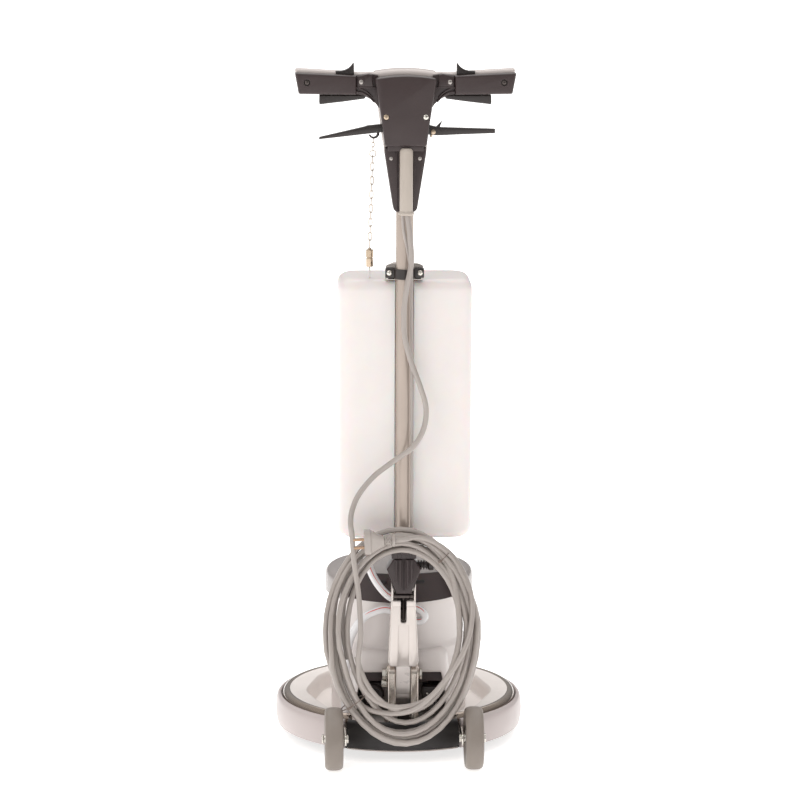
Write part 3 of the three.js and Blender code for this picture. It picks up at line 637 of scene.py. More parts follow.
def cover_profile(off_axis):
    """Section of the motor cover, at an angle in degrees from straight back."""
    radius, top = lid_size()
    foot = span("motor_cover")[0].z
    wall = [(114, foot), (118.4, foot), (119, foot + 3), (118, top - 132), (116.5, top - 127),
            (113.5, top - 122), (112, top - 118), (112, top - 46)]
    if off_axis <= LID_SECTOR:
        (r0, z0), (r1, z1) = slope_row(off_axis)
        lid = [(r0 + (r1 - r0) * t, z0 + (z1 - z0) * t)
               for t in (0, 0.02, 0.05, 0.1, 0.3, 0.6, 0.85, 0.93, 0.98, 1)]
    else:
        lid = [(112.4, top - 44), (radius - 2, top - 44), (radius - 0.3, top - 42), (radius, top - 20),
               (radius - 0.6, top - 13), (radius - 2.4, top - 8), (radius - 5.4, top - 4),
               (radius - 9, top - 1.6), (radius - 13, top - 0.5), (radius - 18, top)]
    inner = [(40, top + 0.4), (0.01, top + 0.4), (0.01, top - 5), (60, top - 5), (104, top - 46),
             (108, top - 52), (108, top - 120), (114, foot + 4)]
    return wall + lid + inner


def build_motor_cover():
    offs = [k * 2.5 for k in range(-72, 72)]
    edge = [LID_SECTOR - 0.01, LID_SECTOR + 0.01]
    offs = sorted(set(offs + edge + [-e for e in edge]))
    angles = [math.radians(-90 + o) for o in offs]
    profiles = [cover_profile(abs(o)) for o in offs]
    lid_from = lid_size()[1] - 43.5
    # Faces above lid_from get the lid's darker colour: painted reflection and painted shade.
    cover = solid("motor_cover_shell", polar(profiles, angles, DRIVE, closed=True), COVER, LID_SHADE_AND_REFLECTION,
                  paint=lambda centre: int(centre.z > lid_from))
    opening = slab(ARCH, "y", (DRIVE.y - 150, DRIVE.y - 60), 0.1, 5)
    put(carved(cover, opening), "base", "motor_cover")


def build_back_panel():
    """The grey panel on the lid's slope, and two dark patches on it: painted shade standing in for two
    shallow recesses.
    """
    panel_offs = [LID_SECTOR * 0.985 * k / 18 for k in range(-18, 19)]
    rows = []
    for off in panel_offs:
        (r0, z0), (r1, z1) = slope_row(abs(off), 0.5)
        (s0, _), (s1, _) = slope_row(abs(off), 3.0)
        rows.append([(r0, z0 + 1), (s0 - 0.8, z0 + 0.6), (s0, z0 + 1.6), (s1, z1 - 1.6), (s1 - 0.8, z1 - 0.4),
                     (r1, z1 - 0.2)])
    shape = polar(rows, [math.radians(-90 + o) for o in panel_offs], DRIVE, closed=False)
    piece("cover_back_panel", shape, SHADE_GREY, "base", "cover_panel")
    pad_at = 22  # degrees from straight back
    (r0, z0), (r1, z1) = slope_row(pad_at, 3.0)
    share = 0.72  # how far up the slope the dark patches of painted recess shade are
    r, z = r0 + (r1 - r0) * share, z0 + (z1 - z0) * share
    tilt = -math.atan2(r0 - r1, z1 - z0)
    # Near-black patches, almost flush with the panel: painted shade where two shallow recesses are.
    for side, label in SIDES:
        y = DRIVE.y - r
        pad = plate((-9, 9), (y - 0.4, y + 1.5), (z - 2.8, z + 2.8), 2.7, 0.3)
        pad = turned_about(pad, (DRIVE.x, y, z), "X", tilt)
        pad = turned_about(pad, (*DRIVE_AXIS, z), "Z", side * math.radians(pad_at))
        piece(f"finger_pad_{label}", pad, PANEL_BLACK, "base")


def build_hood():
    """The squared tunnel at the foot of the cover, open to the back, where the handle's clevis goes in."""
    foot = span("motor_cover")[0].z
    back, front = DRIVE.y - 128, DRIVE.y - 92
    levels = ((foot, 90, 0), (100, 85, 0), (145, 80, 0), (159, 78.5, 0.8), (166, 77, 2.6), (171, 75, 5.6),
              (174.5, 72, 10), (176, 67, 16))
    rings = []
    for z, half, set_in in levels:
        outline = [(-half, back + set_in), (half, back + set_in), (half + 4, front), (-half - 4, front)]
        rings.append([(x, y, z) for x, y in rounded(outline, [16, 16, 2, 2], 7)])
    hood = solid("cover_hood", loft(rings), COVER)
    hole = slab(inset(ARCH, 0.5), "y", (back - 10, front + 30), 0.1, 5)
    put(softened(carved(hood, hole), 1.6), "base")
    path = [Vector((x, back - 0.4, z)) for x, z in rounded(ARCH, 4) if z > foot + 1]
    piece("hood_opening_bead", sweep(path, 1.4, 8), SHELL, "base")
    for side, label in SIDES:
        half = sided([(17, 122), (73, 122), (69, 140), (17, 140)], side)
        piece(f"opening_plate_{label}", slab(half, "y", (back + 6, back + 9), 0.6, 2), SHADE_GREY, "base")


# ---- base: clevis, wheels, fittings
def build_clevis():
    """Two knuckles with webs on a foot, for the tongue of the arm to turn between."""
    low, high = (corner - TO_HANDLE for corner in span("clevis_bracket"))
    bolt = middle("pivot_bolt")
    top = high.z - 12
    near, far = 13, 26  # sides of a knuckle, from the middle of the pole
    ears = []
    for inner, outer in ((near, far), (-far, -near)):
        knuckle = arc((bolt.y, top), 15, 180, 0, 12)
        outline = [(low.y + 4, low.z + 1), (low.y + 12, 100)] + knuckle
        outline += [(high.y - 8, 100), (high.y - 2, low.z + 1)]
        ears.append(slab(outline, "x", (inner, outer), 2.2, 0, 4))
        boss = (outer - 1, outer + 1.6) if outer > 0 else (inner - 1.6, inner + 1)
        ears.append(rod("x", 12.5, boss, (bolt.y, top), 1.2, 40))
        web = [(low.y, low.z + 3), (low.y + 8, 92), (low.y + 20, 92), (low.y + 20, low.z + 3)]
        ears.append(slab(web, "x", (inner + 4, outer - 4), 1.5, 2))
    foot = plate((low.x, high.x), (low.y, high.y), (low.z, low.z + 6), 4, 1.2, "z")
    piece("clevis", moved(merge(foot, *ears), x=HANDLE_X), KNUCKLE, "base", "clevis_bracket")


def build_pivot():
    bolt = middle("pivot_bolt")
    left, right = (corner - TO_HANDLE for corner in span("pivot_bolt"))
    hub, below = (bolt.y, bolt.z), (bolt.y + 2, bolt.z - 17)
    fixings = [rod("x", 6, (left.x + 1, right.x - 1), hub), hex_nut("x", 10, (left.x, -29.2), hub),
               rod("x", 12.5, (-29.2, -27.8), hub, 0.4), hex_nut("x", 10, (28.5, right.x), hub),
               rod("x", 7.2, (left.x + 1, -26.4), below), hex_nut("x", 6.6, (left.x - 1, left.x + 3), below)]
    piece("pivot_fixings", moved(merge(*fixings), x=HANDLE_X), ZINC, "base", "pivot_bolt")
    piece("rubber_stop", plate(*zip(*span("stop_block")), corner=3, edge=2), BLACK, "base", "stop_block")


def wheel_parts(label, side):
    """A tyre, its spoked hub and its axle bolt."""
    low, high = span(f"wheel_{label}")
    centre = middle(f"wheel_{label}")
    hub = (centre.y, centre.z)
    radius, mid, half = (high.y - low.y) / 2, centre.x, (high.x - low.x) / 2
    flank = [(38, 2.5), (44, 0.6), (47, 0), (49.5, 0.8), (51.6, 2.6), (radius - 1.1, 5.4),
             (radius - 0.3, 8.4), (radius, 12)]
    ends = (mid - half, mid + half)
    tyre = both_ends(flank, *ends)
    rim = both_ends([(6.4, 1), (13, 1), (14, 3), (16, 7), (33, 7), (35, 3), (38.1, 2.6)], *ends)
    y, z = hub
    spoke = plate((mid - half + 4, mid + half - 4), (y + 13, y + 36), (z - 2.5, z + 2.5), 1.5, 1, "x")
    spokes = [turned_about(spoke, (mid, *hub), "X", k * TAU / 6) for k in range(6)]
    low, high = span(f"axle_{label}")
    inward, outward = (low.x, high.x) if side > 0 else (high.x, low.x)
    bolt = [rod("x", 6, (low.x + 1, high.x - 1), hub),
            hex_nut("x", 7.6, tuple(sorted((inward, inward + side * 3))), hub),
            hex_nut("x", 8, tuple(sorted((outward, outward - side * 4))), hub)]
    return lathe(tyre, hub, "x", 96), merge(lathe(rim, hub, "x", 72), *spokes), merge(*bolt)


def build_wheels():
    for side, label in SIDES:
        tyre, hub, bolt = wheel_parts(label, side)
        piece(f"tyre_{label}", tyre, TYRE, f"wheel_{label}", f"wheel_{label}")
        piece(f"hub_{label}", hub, HUB, f"wheel_{label}")
        piece(f"axle_bolt_{label}", bolt, ZINC, "base", f"axle_{label}")
        low, high = span(f"wheel_bracket_{label}")
        outline = [(low.y, 44), (low.y, 64), (low.y + 47, 66), (high.y - 24, 57.5), (high.y, 57.5),
                   (high.y, 44)]
        slot = rod("z", 3, (40, 46), ((low.x + high.x) / 2, high.y - 12))
        bracket = merge(slab(outline, "x", (low.x, high.x), 0.8, 8), slot)
        piece(f"bracket_{label}", bracket, ZINC, "base", f"wheel_bracket_{label}")


def build_socket():
    low, high = span("socket_left")
    mid = (low + high) / 2
    across = (low.x + high.x) / 2
    barrel = [(0, low.y + 12), (18, low.y + 12), (18, low.y + 6), (16.6, low.y + 2), (14.6, low.y),
              (12.4, low.y + 0.4), (11.4, low.y + 3), (11, low.y + 9), (0, low.y + 9)]
    body = [plate((low.x, high.x), (low.y + 10, high.y), (low.z, high.z), 5, 2),
            lathe(barrel, (across, mid.z), "y", 48)]
    body += [rod("y", 1.8, (low.y + 5, low.y + 10), (across + dx, mid.z + dz))
             for dx, dz in ((-4.6, -3), (4.6, -3), (0, 5))]
    piece("accessory_socket", merge(*body), BLACK, "base", "socket_left")


def build_terminal_box():
    low, high = span("terminal_box")
    leads = []
    for k in range(3):
        run = [(48 + 5 * k, low.y, 84 + 6 * k), (50 + 5 * k, low.y - 10, 74 + 3 * k),
               (40, low.y - 14, 62 + 2 * k), (30 + 4 * k, low.y + 2, 57)]
        leads.append(sweep(smooth_path(run), 2.6, 10))
    box = plate(*zip(low, high), corner=4, edge=2)
    lid = plate((low.x + 3, high.x - 3), (low.y - 1.5, low.y + 2), (low.z + 4, high.z - 4), 3, 1)
    piece("terminal_cover", merge(box, lid, *leads), BLACK, "base", "terminal_box")
    studs = [rod("y", 2.2, (low.y - 4.5, low.y), (low.x + 9 + 11 * k, high.z - 11)) for k in range(2)]
    piece("terminal_studs", merge(*studs), ZINC, "base")


# ---- handle: arm, foot, pole
def build_arm():
    """The tapered arm and its slot, the shelf and prongs under the pole's foot, and the pivot's tongue."""
    low, high = span("arm_casting")
    bolt = middle("pivot_bolt")
    rear, front = low.y, high.y
    bottom, shoulder, half_low, half_high = 158, 274.5, high.x + 0.8, 21
    taper = [(-half_high, shoulder), (half_high, shoulder), (half_low, bottom + 8), (half_low - 3, bottom),
             (3 - half_low, bottom), (-half_low, bottom + 8)]
    body = slab(taper, "y", (rear + 1.5, front), 2.4, [2, 2, 5, 6, 6, 5], 4)
    tongue_end = arc((front - 12, low.z + 11), 11, 0, -180, 12)
    face = rear + 4
    back_edge = [(face + 2.4, 112), (face, 122), (face, 176)]
    tongue = slab([(front - 1, 176)] + tongue_end + back_edge, "x", (-12, 12), 2, 0, 4)
    panel = plate((-9.4, 9.4), (rear - 5, rear + 3.6), (bottom - 12, 231), 2.4, 0.8)
    slot = slab([(-5.3, 236), (5.3, 236), (5.3, 290), (-5.3, 290)], "y", (rear - 5, rear + 19), 0.1, 5)
    seat = plate((-12.4, 12.4), (rear + 17.6, front + 5), (254, 290), 1, 0.1)
    arm = carved(solid("handle_arm", body, ALUMINIUM), panel, slot, seat)
    put(softened(arm, 0.8, 2, 50), "handle", "arm_casting")
    shelf = plate((0.4 - half_high, half_high - 0.4), (rear, front - 2), (264.5, shoulder + 1), 2, 1.5)
    piece("arm_shelf", shelf, ALUMINIUM, "handle", cut=[slot, seat])
    prongs = []
    for side in (-1, 1):
        face = [(side * 17.6, 258), (side * half_high, 258), (side * half_high, 307), (side * 17.6, 296)]
        prongs.append(slab(face if side > 0 else face[::-1], "y", (rear + 1, front - 2), 1.2, 0.8))
        web = sided([(13.2, 258), (20, 258), (20, 303), (15.4, 291.5), (13.2, 285)], side)
        prongs.append(slab(web, "y", (front - 17, front - 3), 0.8, 0.6))
    piece("arm_prongs", merge(*prongs), ALUMINIUM, "handle")
    pin_bore = drill("x", 6.6, (-30, 30), (bolt.y, bolt.z), 40)
    # The tongue's lighter finish is painted light.
    piece("arm_tongue", tongue, TONGUE_PAINTED_LIGHT, "handle", cut=[pin_bore])


def build_foot():
    low, high = span("foot_socket")
    rear = low.y
    hexagon = [(-17.4, 350.4), (-29.4, 332), (-12.2, 289), (12.2, 289), (29.4, 332), (17.4, 350.4)]
    face = slab(hexagon, "y", (rear + 1.5, high.y - 1), 1.6, 0.5, 3)
    middle_groove = slab([(-2.8, 352), (2.8, 352), (0.9, 297), (-0.9, 297)], "y", (rear - 4, rear + 4.5), 0.1)
    foot = carved(solid("pole_foot", face, DARK), rod("x", 5, (-40, 40), (rear + 11, 283)), middle_groove)
    put(softened(foot, 0.5, 2, 40), "handle", "foot_socket")
    ribs = []
    for side in (-1, 1):
        for near, far, end in ((4.4, 8.6, 300), (11, 15.4, 309)):
            rib = [(side * near, 350), (side * near, end + 3), (side * (near + 1), end),
                   (side * (far - 1), end + 1), (side * far, end + 4), (side * far, 350)]
            ribs.append(slab(rib[::-1] if side > 0 else rib, "y", (rear - 0.6, rear + 5), 1.3, 1))
    spigot = plate((-12, 12), (rear + 25.5, high.y - 2), (255, 295), 1.5, 0.8)
    piece("foot_ribs", merge(*ribs, spigot), DARK, "handle")


def build_hook_clip():
    """The collar above the pole's foot, with its ribbed front and the peg that carries the cord."""
    rear = span("foot_socket")[0].y
    low, high = span("cord_hook")
    collar = [(15.6, 351), (20.6, 351), (21.2, 352), (21.2, high.z - 1), (20.4, high.z), (15.6, high.z)]
    peg = [plate((-6, 6), (low.y + 16, POLE.y - 15), (high.z - 10, high.z - 3), 3, 2)]
    peg.append(plate((-21.2, 21.2), (rear + 0.6, POLE.y - 15.7), (351, high.z - 1), 1.5, 1))
    peg += [plate((x - 2.1, x + 2.1), (rear - 0.8, rear + 3), (351.5, high.z - 3), 1, 0.8)
            for x in (-13.2, -6.5, 6.5, 13.2)]
    piece("hook_clip", merge(lathe(collar, POLE_AXIS, "z", 64), *peg), DARK, "handle", "cord_hook")


def build_lock():
    """The roller in the arm's slot and the threaded rod that pulls it."""
    pin = middle("cross_pin")
    low, high = span("cross_pin")
    groove = [(0, low.x), (3.7, low.x), (4.3, low.x + 0.7), (4.3, 9.4), (3.4, 10), (3.4, 11.4), (4.6, 12),
              (4.6, high.x - 0.9), (3.8, high.x), (0, high.x)]
    piece("cross_roller", lathe(groove, (pin.y, pin.z), "x", 40), SCREW_DARK, "handle", "cross_pin")
    low, high = span("lock_rod")
    rod_mid = (low + high) / 2
    foot = low.z - 5
    crest, root, pitch, turns = 4, 3.45, 1.5, 23
    thread = [(0, foot), (3.2, foot), (crest, foot + 1.4)]
    for k in range(turns):
        z = foot + 2 + k * pitch
        thread += [(crest, z), (root, z + pitch / 2)]
    thread += [(crest, foot + 38), (crest, high.z - 0.8), (3.4, high.z), (0, high.z)]
    thread = lathe(thread, (rod_mid.x, rod_mid.y), "z", 32)
    piece("lock_rod_threaded", thread, SCREW_DARK, "lock_rod", "lock_rod")


def build_pole():
    low, high = span("pole_tube")
    wall = both_ends([(POLE_R - 2, 0), (POLE_R - 0.4, 0), (POLE_R, 0.6)], low.z, high.z)
    piece("pole", lathe(wall, POLE_AXIS), POLE_PAINT, "handle", "pole_tube")


def build_gland():
    """The ribbed sleeve on the cable, at the side of the pole's foot."""
    high, mid = span("cable_gland")[1], middle("cable_gland")
    start = 24  # distance of its inner end from the pole's middle
    rings = [(0, start)]
    for k in range(4):
        x = start + 0.5 + k * 4.6
        rings += [(5.4, x), (8.2, x + 0.5), (8.6, x + 1.4), (8.2, x + 2.5), (5.4, x + 3)]
    rings += [(8.6, high.x - 10.4), (9.8, high.x - 9), (10, high.x - 5), (9.6, high.x - 2), (8, high.x - 0.3),
              (6, high.x), (0, high.x)]
    piece("gland", lathe(rings, (mid.y, mid.z - 3), "x", 40), BLACK, "handle", "cable_gland")


# ---- handle: tank and clamp
def tank_outline(across, half, rear, front, corner, groove):
    """Plan of the tank: rounded corners and a round groove for the pole in the back."""
    left, right = across - half, across + half
    plan = rounded([(groove + 2.4, rear), (right, rear), (right, front), (left, front), (left, rear),
                    (-groove - 2.4, rear)], [2, corner, corner, corner, corner, 2], 8)
    return plan + arc(POLE, groove, 178, 2, 11)


def build_tank():
    """The tank as one skin from its rounded bottom to its rounded top, with a filler neck and an outlet."""
    low, high = span("solution_tank")
    bottom, top, round_over = low.z + 8, high.z - 8, 19
    rear, front, half, across = low.y, high.y, (high.x - low.x) / 2, (low.x + high.x) / 2
    curve = [(round_over * (1 - math.sin(math.radians(a))), round_over * (1 - math.cos(math.radians(a))))
             for a in range(90, -1, -10)]
    levels = [(bottom + up, depth) for up, depth in curve]
    levels += [(bottom + 40, 0), ((bottom + top) / 2, 0.4), (top - 40, 0)]
    levels += [(top - up, depth) for up, depth in reversed(curve)]
    rings = []
    for z, depth in levels:
        corner, groove = 32 - depth * 0.5, POLE_R + 0.8
        plan = tank_outline(across, half - depth, rear + depth, front - depth, corner, groove)
        rings.append([(x, y, z) for x, y in plan])
    cap_at = middle("tank_cap")
    neck = [(15, top - 10), (15, top + 8), (18.6, top + 8), (19, top + 7), (19, top - 4)]
    neck = lathe(neck, (cap_at.x, cap_at.y), "z", 48)
    outlet = [(5, low.z), (7.4, low.z), (8, low.z + 1), (8, bottom + 6), (5, bottom + 6)]
    outlet = lathe(outlet, (-60, DRIVE.y - 104), "z", 32)
    piece("tank", merge(loft(rings), neck, outlet), TANK, "handle", "solution_tank")


RIDGES = 72  # points round the knurled side of the filler cap


def build_filler_cap():
    low, high = span("tank_cap")
    centre = middle("tank_cap")
    knurl = []
    for level, size in ((0, 20.6), (0.8, 21.4), (15, 21.4), (17, 20.6), (17.8, 19), (18, 16)):
        ridged = [(size - 0.7 * (k % 2), TAU * k / RIDGES) for k in range(RIDGES)]
        knurl.append([(centre.x + r * math.cos(a), centre.y + r * math.sin(a), low.z + level)
                      for r, a in ridged])
    wall = [(19.2, low.z + 0.2), (20.8, low.z + 0.2), (20.8, high.z - 4), (19.2, high.z - 4)]
    wall = lathe(wall, (centre.x, centre.y), "z", 48)
    piece("filler_cap", merge(loft(knurl), wall), SHELL, "tank_cap", "tank_cap")


def build_clamp():
    """The bright bracket on the tank's lid, cut round the pole."""
    low, high = span("clamp_bracket")
    base = plate((low.x, high.x), (low.y + 0.5, high.y), (low.z, low.z + 6), 4, 1.4, "z")
    rise = high.z + 4
    outline = [(low.x, low.z), (high.x, low.z), (high.x, rise - 4), (high.x - 9, rise), (low.x + 9, rise),
               (low.x, rise - 4)]
    back = slab(outline, "y", (low.y + 4.2, low.y + 8), 1.2, 3)
    step = plate((low.x + 2, high.x - 2), (low.y + 0.5, low.y + 3.6), (low.z, high.z - 7), 2, 0.8)
    hole = drill("z", POLE_R + 0.4, (low.z - 10, high.z + 10), POLE_AXIS, 64)
    piece("tank_bracket", base, BRACKET, "handle", "clamp_bracket", cut=[hole])
    piece("tank_bracket_back", back, BRACKET, "handle", cut=[hole])
    piece("tank_bracket_step", step, BRACKET, "handle", cut=[hole])


def build_strap():
    """The black band round the pole, its two ears and their screws."""
    low, high = span("clamp_strap")
    outer, inner = 18.6, POLE_R + 0.4
    edge = [(inner, low.z - 1.5), (outer - 0.7, low.z - 1.5), (outer, low.z - 0.7), (outer, high.z - 2.3),
            (outer - 0.7, high.z - 1.5), (inner, high.z - 1.5)]
    band = wall_round(edge, 184, 356, POLE, 8)
    ears = [plate(limits, (low.y + 13.2, high.y), (low.z, high.z), 2.2, 1)
            for limits in ((low.x, 1.5 - outer), (outer - 1.5, high.x))]
    piece("pole_strap", merge(band, *ears), BLACK, "handle", "clamp_strap")
    for _, label in SIDES:
        low, high = span(f"clamp_screw_{label}")
        mid = middle(f"clamp_screw_{label}")
        head = screw_head((mid.x, mid.z), low.y - 0.4, high.y + 1, 4.6)
        piece(f"strap_screw_{label}", head, ZINC, "handle", f"clamp_screw_{label}")


def screw_head(place, front, back, radius, turn=0.4):
    """A domed head with a cross on it, at an (x, z) place. front and back are its ends along y."""
    x, z = place
    dome = [(0, 1.4), (0.18, 1.4), (0.3, 0.1), (0.55, 0.15), (0.85, 0.7), (1, 1.6)]
    profile = [(radius * r, front + depth) for r, depth in dome] + [(radius, back), (0, back)]
    arms = []
    for k in range(2):
        across = (x - radius * 0.5, x + radius * 0.5)
        bar = plate(across, (front - 0.12, front + 0.5), (z - 0.45, z + 0.45), 0.3, 0.1)
        arms.append(turned_about(bar, (x, front, z), "Y", turn + k * math.pi / 2))
    return merge(lathe(profile, place, "y", 32), *arms)


# ---- console
CROWN = 5  # rise of the cover's top edge, from its corners to its middle


def half_width(z):
    """Half width of the console's dark cover at a height."""
    low, high = span("rear_cover")
    share = (z - low.z) / (high.z - CROWN - low.z)
    return 35 + (high.x - 35) * share ** 1.15


def cover_outline(grow, crown_grow):
    """Outline of the console body, wider by grow, with its crowned top higher by crown_grow."""
    low, high = span("rear_cover")
    base, top = low.z - grow, high.z - CROWN
    right = [(half_width(low.z + (top - low.z) * k / 5) + grow, base + (top - base) * k / 5)
             for k in range(5)]
    corner = (high.x + grow, top + crown_grow)
    arch = [(high.x * (1 - k / 5), top + crown_grow + CROWN * (1 - (1 - k / 5) ** 2)) for k in range(1, 10)]
    left = [(-x, z) for x, z in reversed(right)]
    return right + [corner] + arch + [(-corner[0], corner[1])] + left


def cover_radii(foot, corner):
    """Corner radii for cover_outline: its two lower corners, its two upper ones, and soft steps between."""
    return [foot] + [2] * 4 + [corner] + [3] * 9 + [corner] + [2] * 4 + [foot]


def sided(outline, side):
    """A right-hand outline, or its mirror image."""
    return [(side * x, z) for x, z in (outline if side > 0 else reversed(outline))]


def build_console_back():
    low, high = span("rear_cover")
    cover = slab(cover_outline(0.2, 0), "y", (low.y, high.y), 3, cover_radii(5, 4), 5)
    screws = {"left": ((-33, 1111), BRASS), "right": ((33.5, 1111), ZINC)}
    recesses = [drill("y", 6.2, (low.y - 2, low.y + 1.2), place, 32) for place, _ in screws.values()]
    piece("console_back", cover, DARK, "handle", "rear_cover", cut=recesses)
    for label, (place, material) in screws.items():
        piece(f"console_screw_{label}", screw_head(place, low.y - 0.4, low.y + 3, 4.9), material, "handle")
    chin = plate((-30, 30), (low.y + 5, high.y - 2), (1053, 1066), 2, 1.5)
    piece("console_chin", chin, DARK, "handle")


def build_console_front():
    """The light shell away from the operator, its wings and necks behind the grips, and its two shoulders."""
    split = span("rear_cover")[1].y
    shell_high = span("console_shell")[1]
    front = slab(cover_outline(2.4, 8), "y", (split + 0.3, shell_high.y), 8, cover_radii(8, 9), 6)
    piece("console_front", front, SHELL, "handle", "console_shell")
    for side, label in SIDES:
        limits, neck_limits = (split + 0.3, shell_high.y - 20), (split + 0.7, shell_high.y - 22)
        wing = [(62, 1146), (179, 1148), (185.8, 1189), (118, 1185), (78, 1182), (62, 1182)]
        parts = {"wing": slab(sided(wing, side), "y", limits, 6, 6, 5),
                 "neck": slab(sided(web_outline(1.6), side), "y", neck_limits, 2.4)}
        for name, shape in parts.items():
            piece(f"console_{name}_{label}", shape, SHELL, "handle", cut=[trigger_pocket(side)])
    for side, label in SIDES:
        shoulder = sided([(31, 1049), (35.6, 1049), (36.8, 1063), (31, 1063)], side)
        piece(f"shoulder_{label}", slab(shoulder, "y", (split - 12, split + 6), 1, 1.5), SHELL, "handle")


def web_outline(grow=0.0):
    """The neck between the console and a grip, right-hand side."""
    curve = [(42 - grow, 1121 - grow), (50, 1131.5 - grow), (58, 1138.5 - grow), (70, 1144.6 - grow),
             (84, 1147 - grow)]
    return curve + [(84, 1178.4 + grow), (60, 1181 + grow), (46 - grow, 1179 + grow)]


def trigger_pocket(side):
    """The room a trigger paddle moves up into when it is squeezed."""
    low, high = span("trigger_right")
    x = sorted((side * 62.6, side * 147))
    return plate(x, (low.y - 1.4, high.y + 1.4), (1110, 1166), 1, 0.1)


def build_grips():
    """Each grip's dark half, the web that joins it to the console, and its two screws."""
    for side, label in SIDES:
        low, high = span(f"grip_{label}")
        outline = sided([(82.5, 1147), (179, 1148.3), (185.5, 1183.5), (82.5, 1178.7)], side)
        body = slab(outline, "y", (low.y, high.y), 3.6, 3, 5)
        screw_at, boss_at = (side * 165, 1167.5), (side * 74.5, 1168)
        well = lathe([(0, low.y - 2), (6, low.y - 2), (5.6, low.y + 3), (0, low.y + 3)], screw_at, "y", 40)
        piece(f"grip_half_{label}", body, DARK, "handle", f"grip_{label}", cut=[well, trigger_pocket(side)])
        web = [slab(sided(web_outline(), side), "y", (low.y + 12, high.y), 1.2)]
        tab = sided([(54, 1160), (82, 1160), (82, 1177), (62, 1181.4), (56, 1180)], side)
        web.append(slab(tab, "y", (low.y + 7.5, low.y + 16), 1.4, 2))
        web.append(rod("y", 6.2, (low.y + 5.6, low.y + 14), boss_at, 0.8, 40))
        web.append(slab(sided([(50, 1157.6), (83, 1157.6), (83, 1160), (50, 1160)], side), "y",
                        (low.y + 8, low.y + 14), 0.6))
        for drop, thick in ((0, 1.3), (9, 1.1)):
            curve = [(84, 1151.5), (76, 1150.6), (68, 1147.6), (60, 1142), (53, 1134.4)]
            path = [Vector((side * (x + drop * 0.25), low.y + 9, z + drop * 0.75)) for x, z in curve]
            web.append(sweep(smooth_path(path, 5), thick, 10))
        piece(f"grip_web_{label}", merge(*web), DARK, "handle")
        piece(f"grip_screw_{label}", screw_head(screw_at, low.y + 1.2, low.y + 4, 4.8), SCREW_DARK, "handle")
        piece(f"boss_screw_{label}", screw_head(boss_at, low.y + 4.8, low.y + 7, 4.4), STEEL, "handle")


def build_triggers_and_buttons():
    for side, label in SIDES:
        low, high = span(f"trigger_{label}")
        paddle = [(64.5, 1145.5), (68.5, 1139), (104, 1134.2), (144, 1129.5), (144.6, 1133), (144.3, 1145.5)]
        paddle = slab(sided(paddle, side), "y", (low.y, high.y), 2, 1.4, 4)
        piece(f"trigger_paddle_{label}", paddle, BLACK, f"trigger_{label}", f"trigger_{label}")
        low, high = span(f"button_{label}")
        horn = [(86, low.z), (116.4, low.z), (117, 1185), (112, 1185.4), (106, 1185.6), (100.6, 1187),
                (96, 1189.2), (92, 1192.6), (89, 1196.4), (87.4, high.z), (86.2, high.z - 0.6)]
        horn = slab(sided(horn, side), "y", (low.y, high.y), 1, 0, 3)
        piece(f"horn_{label}", horn, BLACK, f"button_{label}", f"button_{label}")


def build_solution_lever():
    low, high = span("solution_lever")
    arm = [(low.x, 1070.4), (-104, 1075), (-64, 1079.6), (-46, 1081.6), (-26, 1083), (-24, 1089), (-28, 1096),
           (-44, 1095.6), (-64, 1093.4), (-68, 1091.8), (-104, 1083.4), (low.x + 1, 1074.2)]
    bend = [(-46, 1083), (-45.6, 1078.6), (-48, 1074.6), (-52.6, 1072.8), (-57.4, 1074.4), (-60, 1078)]
    hook = sweep(smooth_path([Vector((x, low.y + 6, z)) for x, z in bend], 6), lambda t: 2.6 - 1.2 * t, 12)
    lever = merge(slab(arm, "y", (low.y, high.y), 2, 1, 4), hook,
                  rod("y", 7, (low.y - 1, high.y + 1), (-32, 1089), 1, 32))
    piece("lever_solution", lever, BLACK, "solution_lever", "solution_lever")


def build_lock_lever():
    low, high = span("lock_lever")
    arm = [(high.x, 1080.6), (high.x, 1087.8), (100, 1089.4), (60, 1090.6), (50, 1092), (38, 1095),
           (24, 1092), (22, 1085), (26, 1079.6), (54, 1076.8), (100, 1078.8)]
    spike = [(51, 1087), (58, 1090), (62.4, 1101.6), (53, 1092.6)]
    lever = merge(slab(arm[::-1], "y", (low.y, high.y), 2, 1, 4),
                  slab(spike, "y", (low.y + 3, high.y - 3), 0.8, 0.6))
    piece("lever_lock", lever, BLACK, "lock_lever", "lock_lever")
    barrel = merge(rod("y", 4.4, (low.y - 1.5, high.y + 1), (47, 1083), 0.8, 24),
                   rod("z", 2.2, (1074, 1082), (44, low.y + 4), 0.5, 20))
    piece("lever_lock_ferrule", barrel, BRASS, "lock_lever")


def build_stem():
    low, high = span("stem_cover")
    face = [(-34.9, high.z), (-34.9, high.z - 11), (-20, low.z + 4), (-15, low.z - 1), (15, low.z - 1),
            (20, low.z + 4), (34.9, high.z - 11), (34.9, high.z)]
    stem = slab(face, "y", (low.y, high.y), 2.6, [2, 3, 3, 3, 3, 3, 3, 2], 4)
    boot = middle("cord_boot")
    groove = drill("z", 12.6, (940, 1070), (boot.x, boot.y + 2))
    piece("stem", stem, DARK, "handle", "stem_cover", cut=[groove])
    flanks = [slab(sided([(14, high.z), (16.4, high.z), (15.4, low.z + 4), (13, low.z + 4)], side), "y",
                   (low.y - 1.8, low.y + 5), 0.8, 0.6) for side in (-1, 1)]
    piece("stem_ribs", merge(*flanks), DARK, "handle")
    for side, label in SIDES:
        head = screw_head((side * 24, 1040), low.y - 0.6, low.y + 2, 4)
        piece(f"stem_screw_{label}", head, STEEL, "handle")


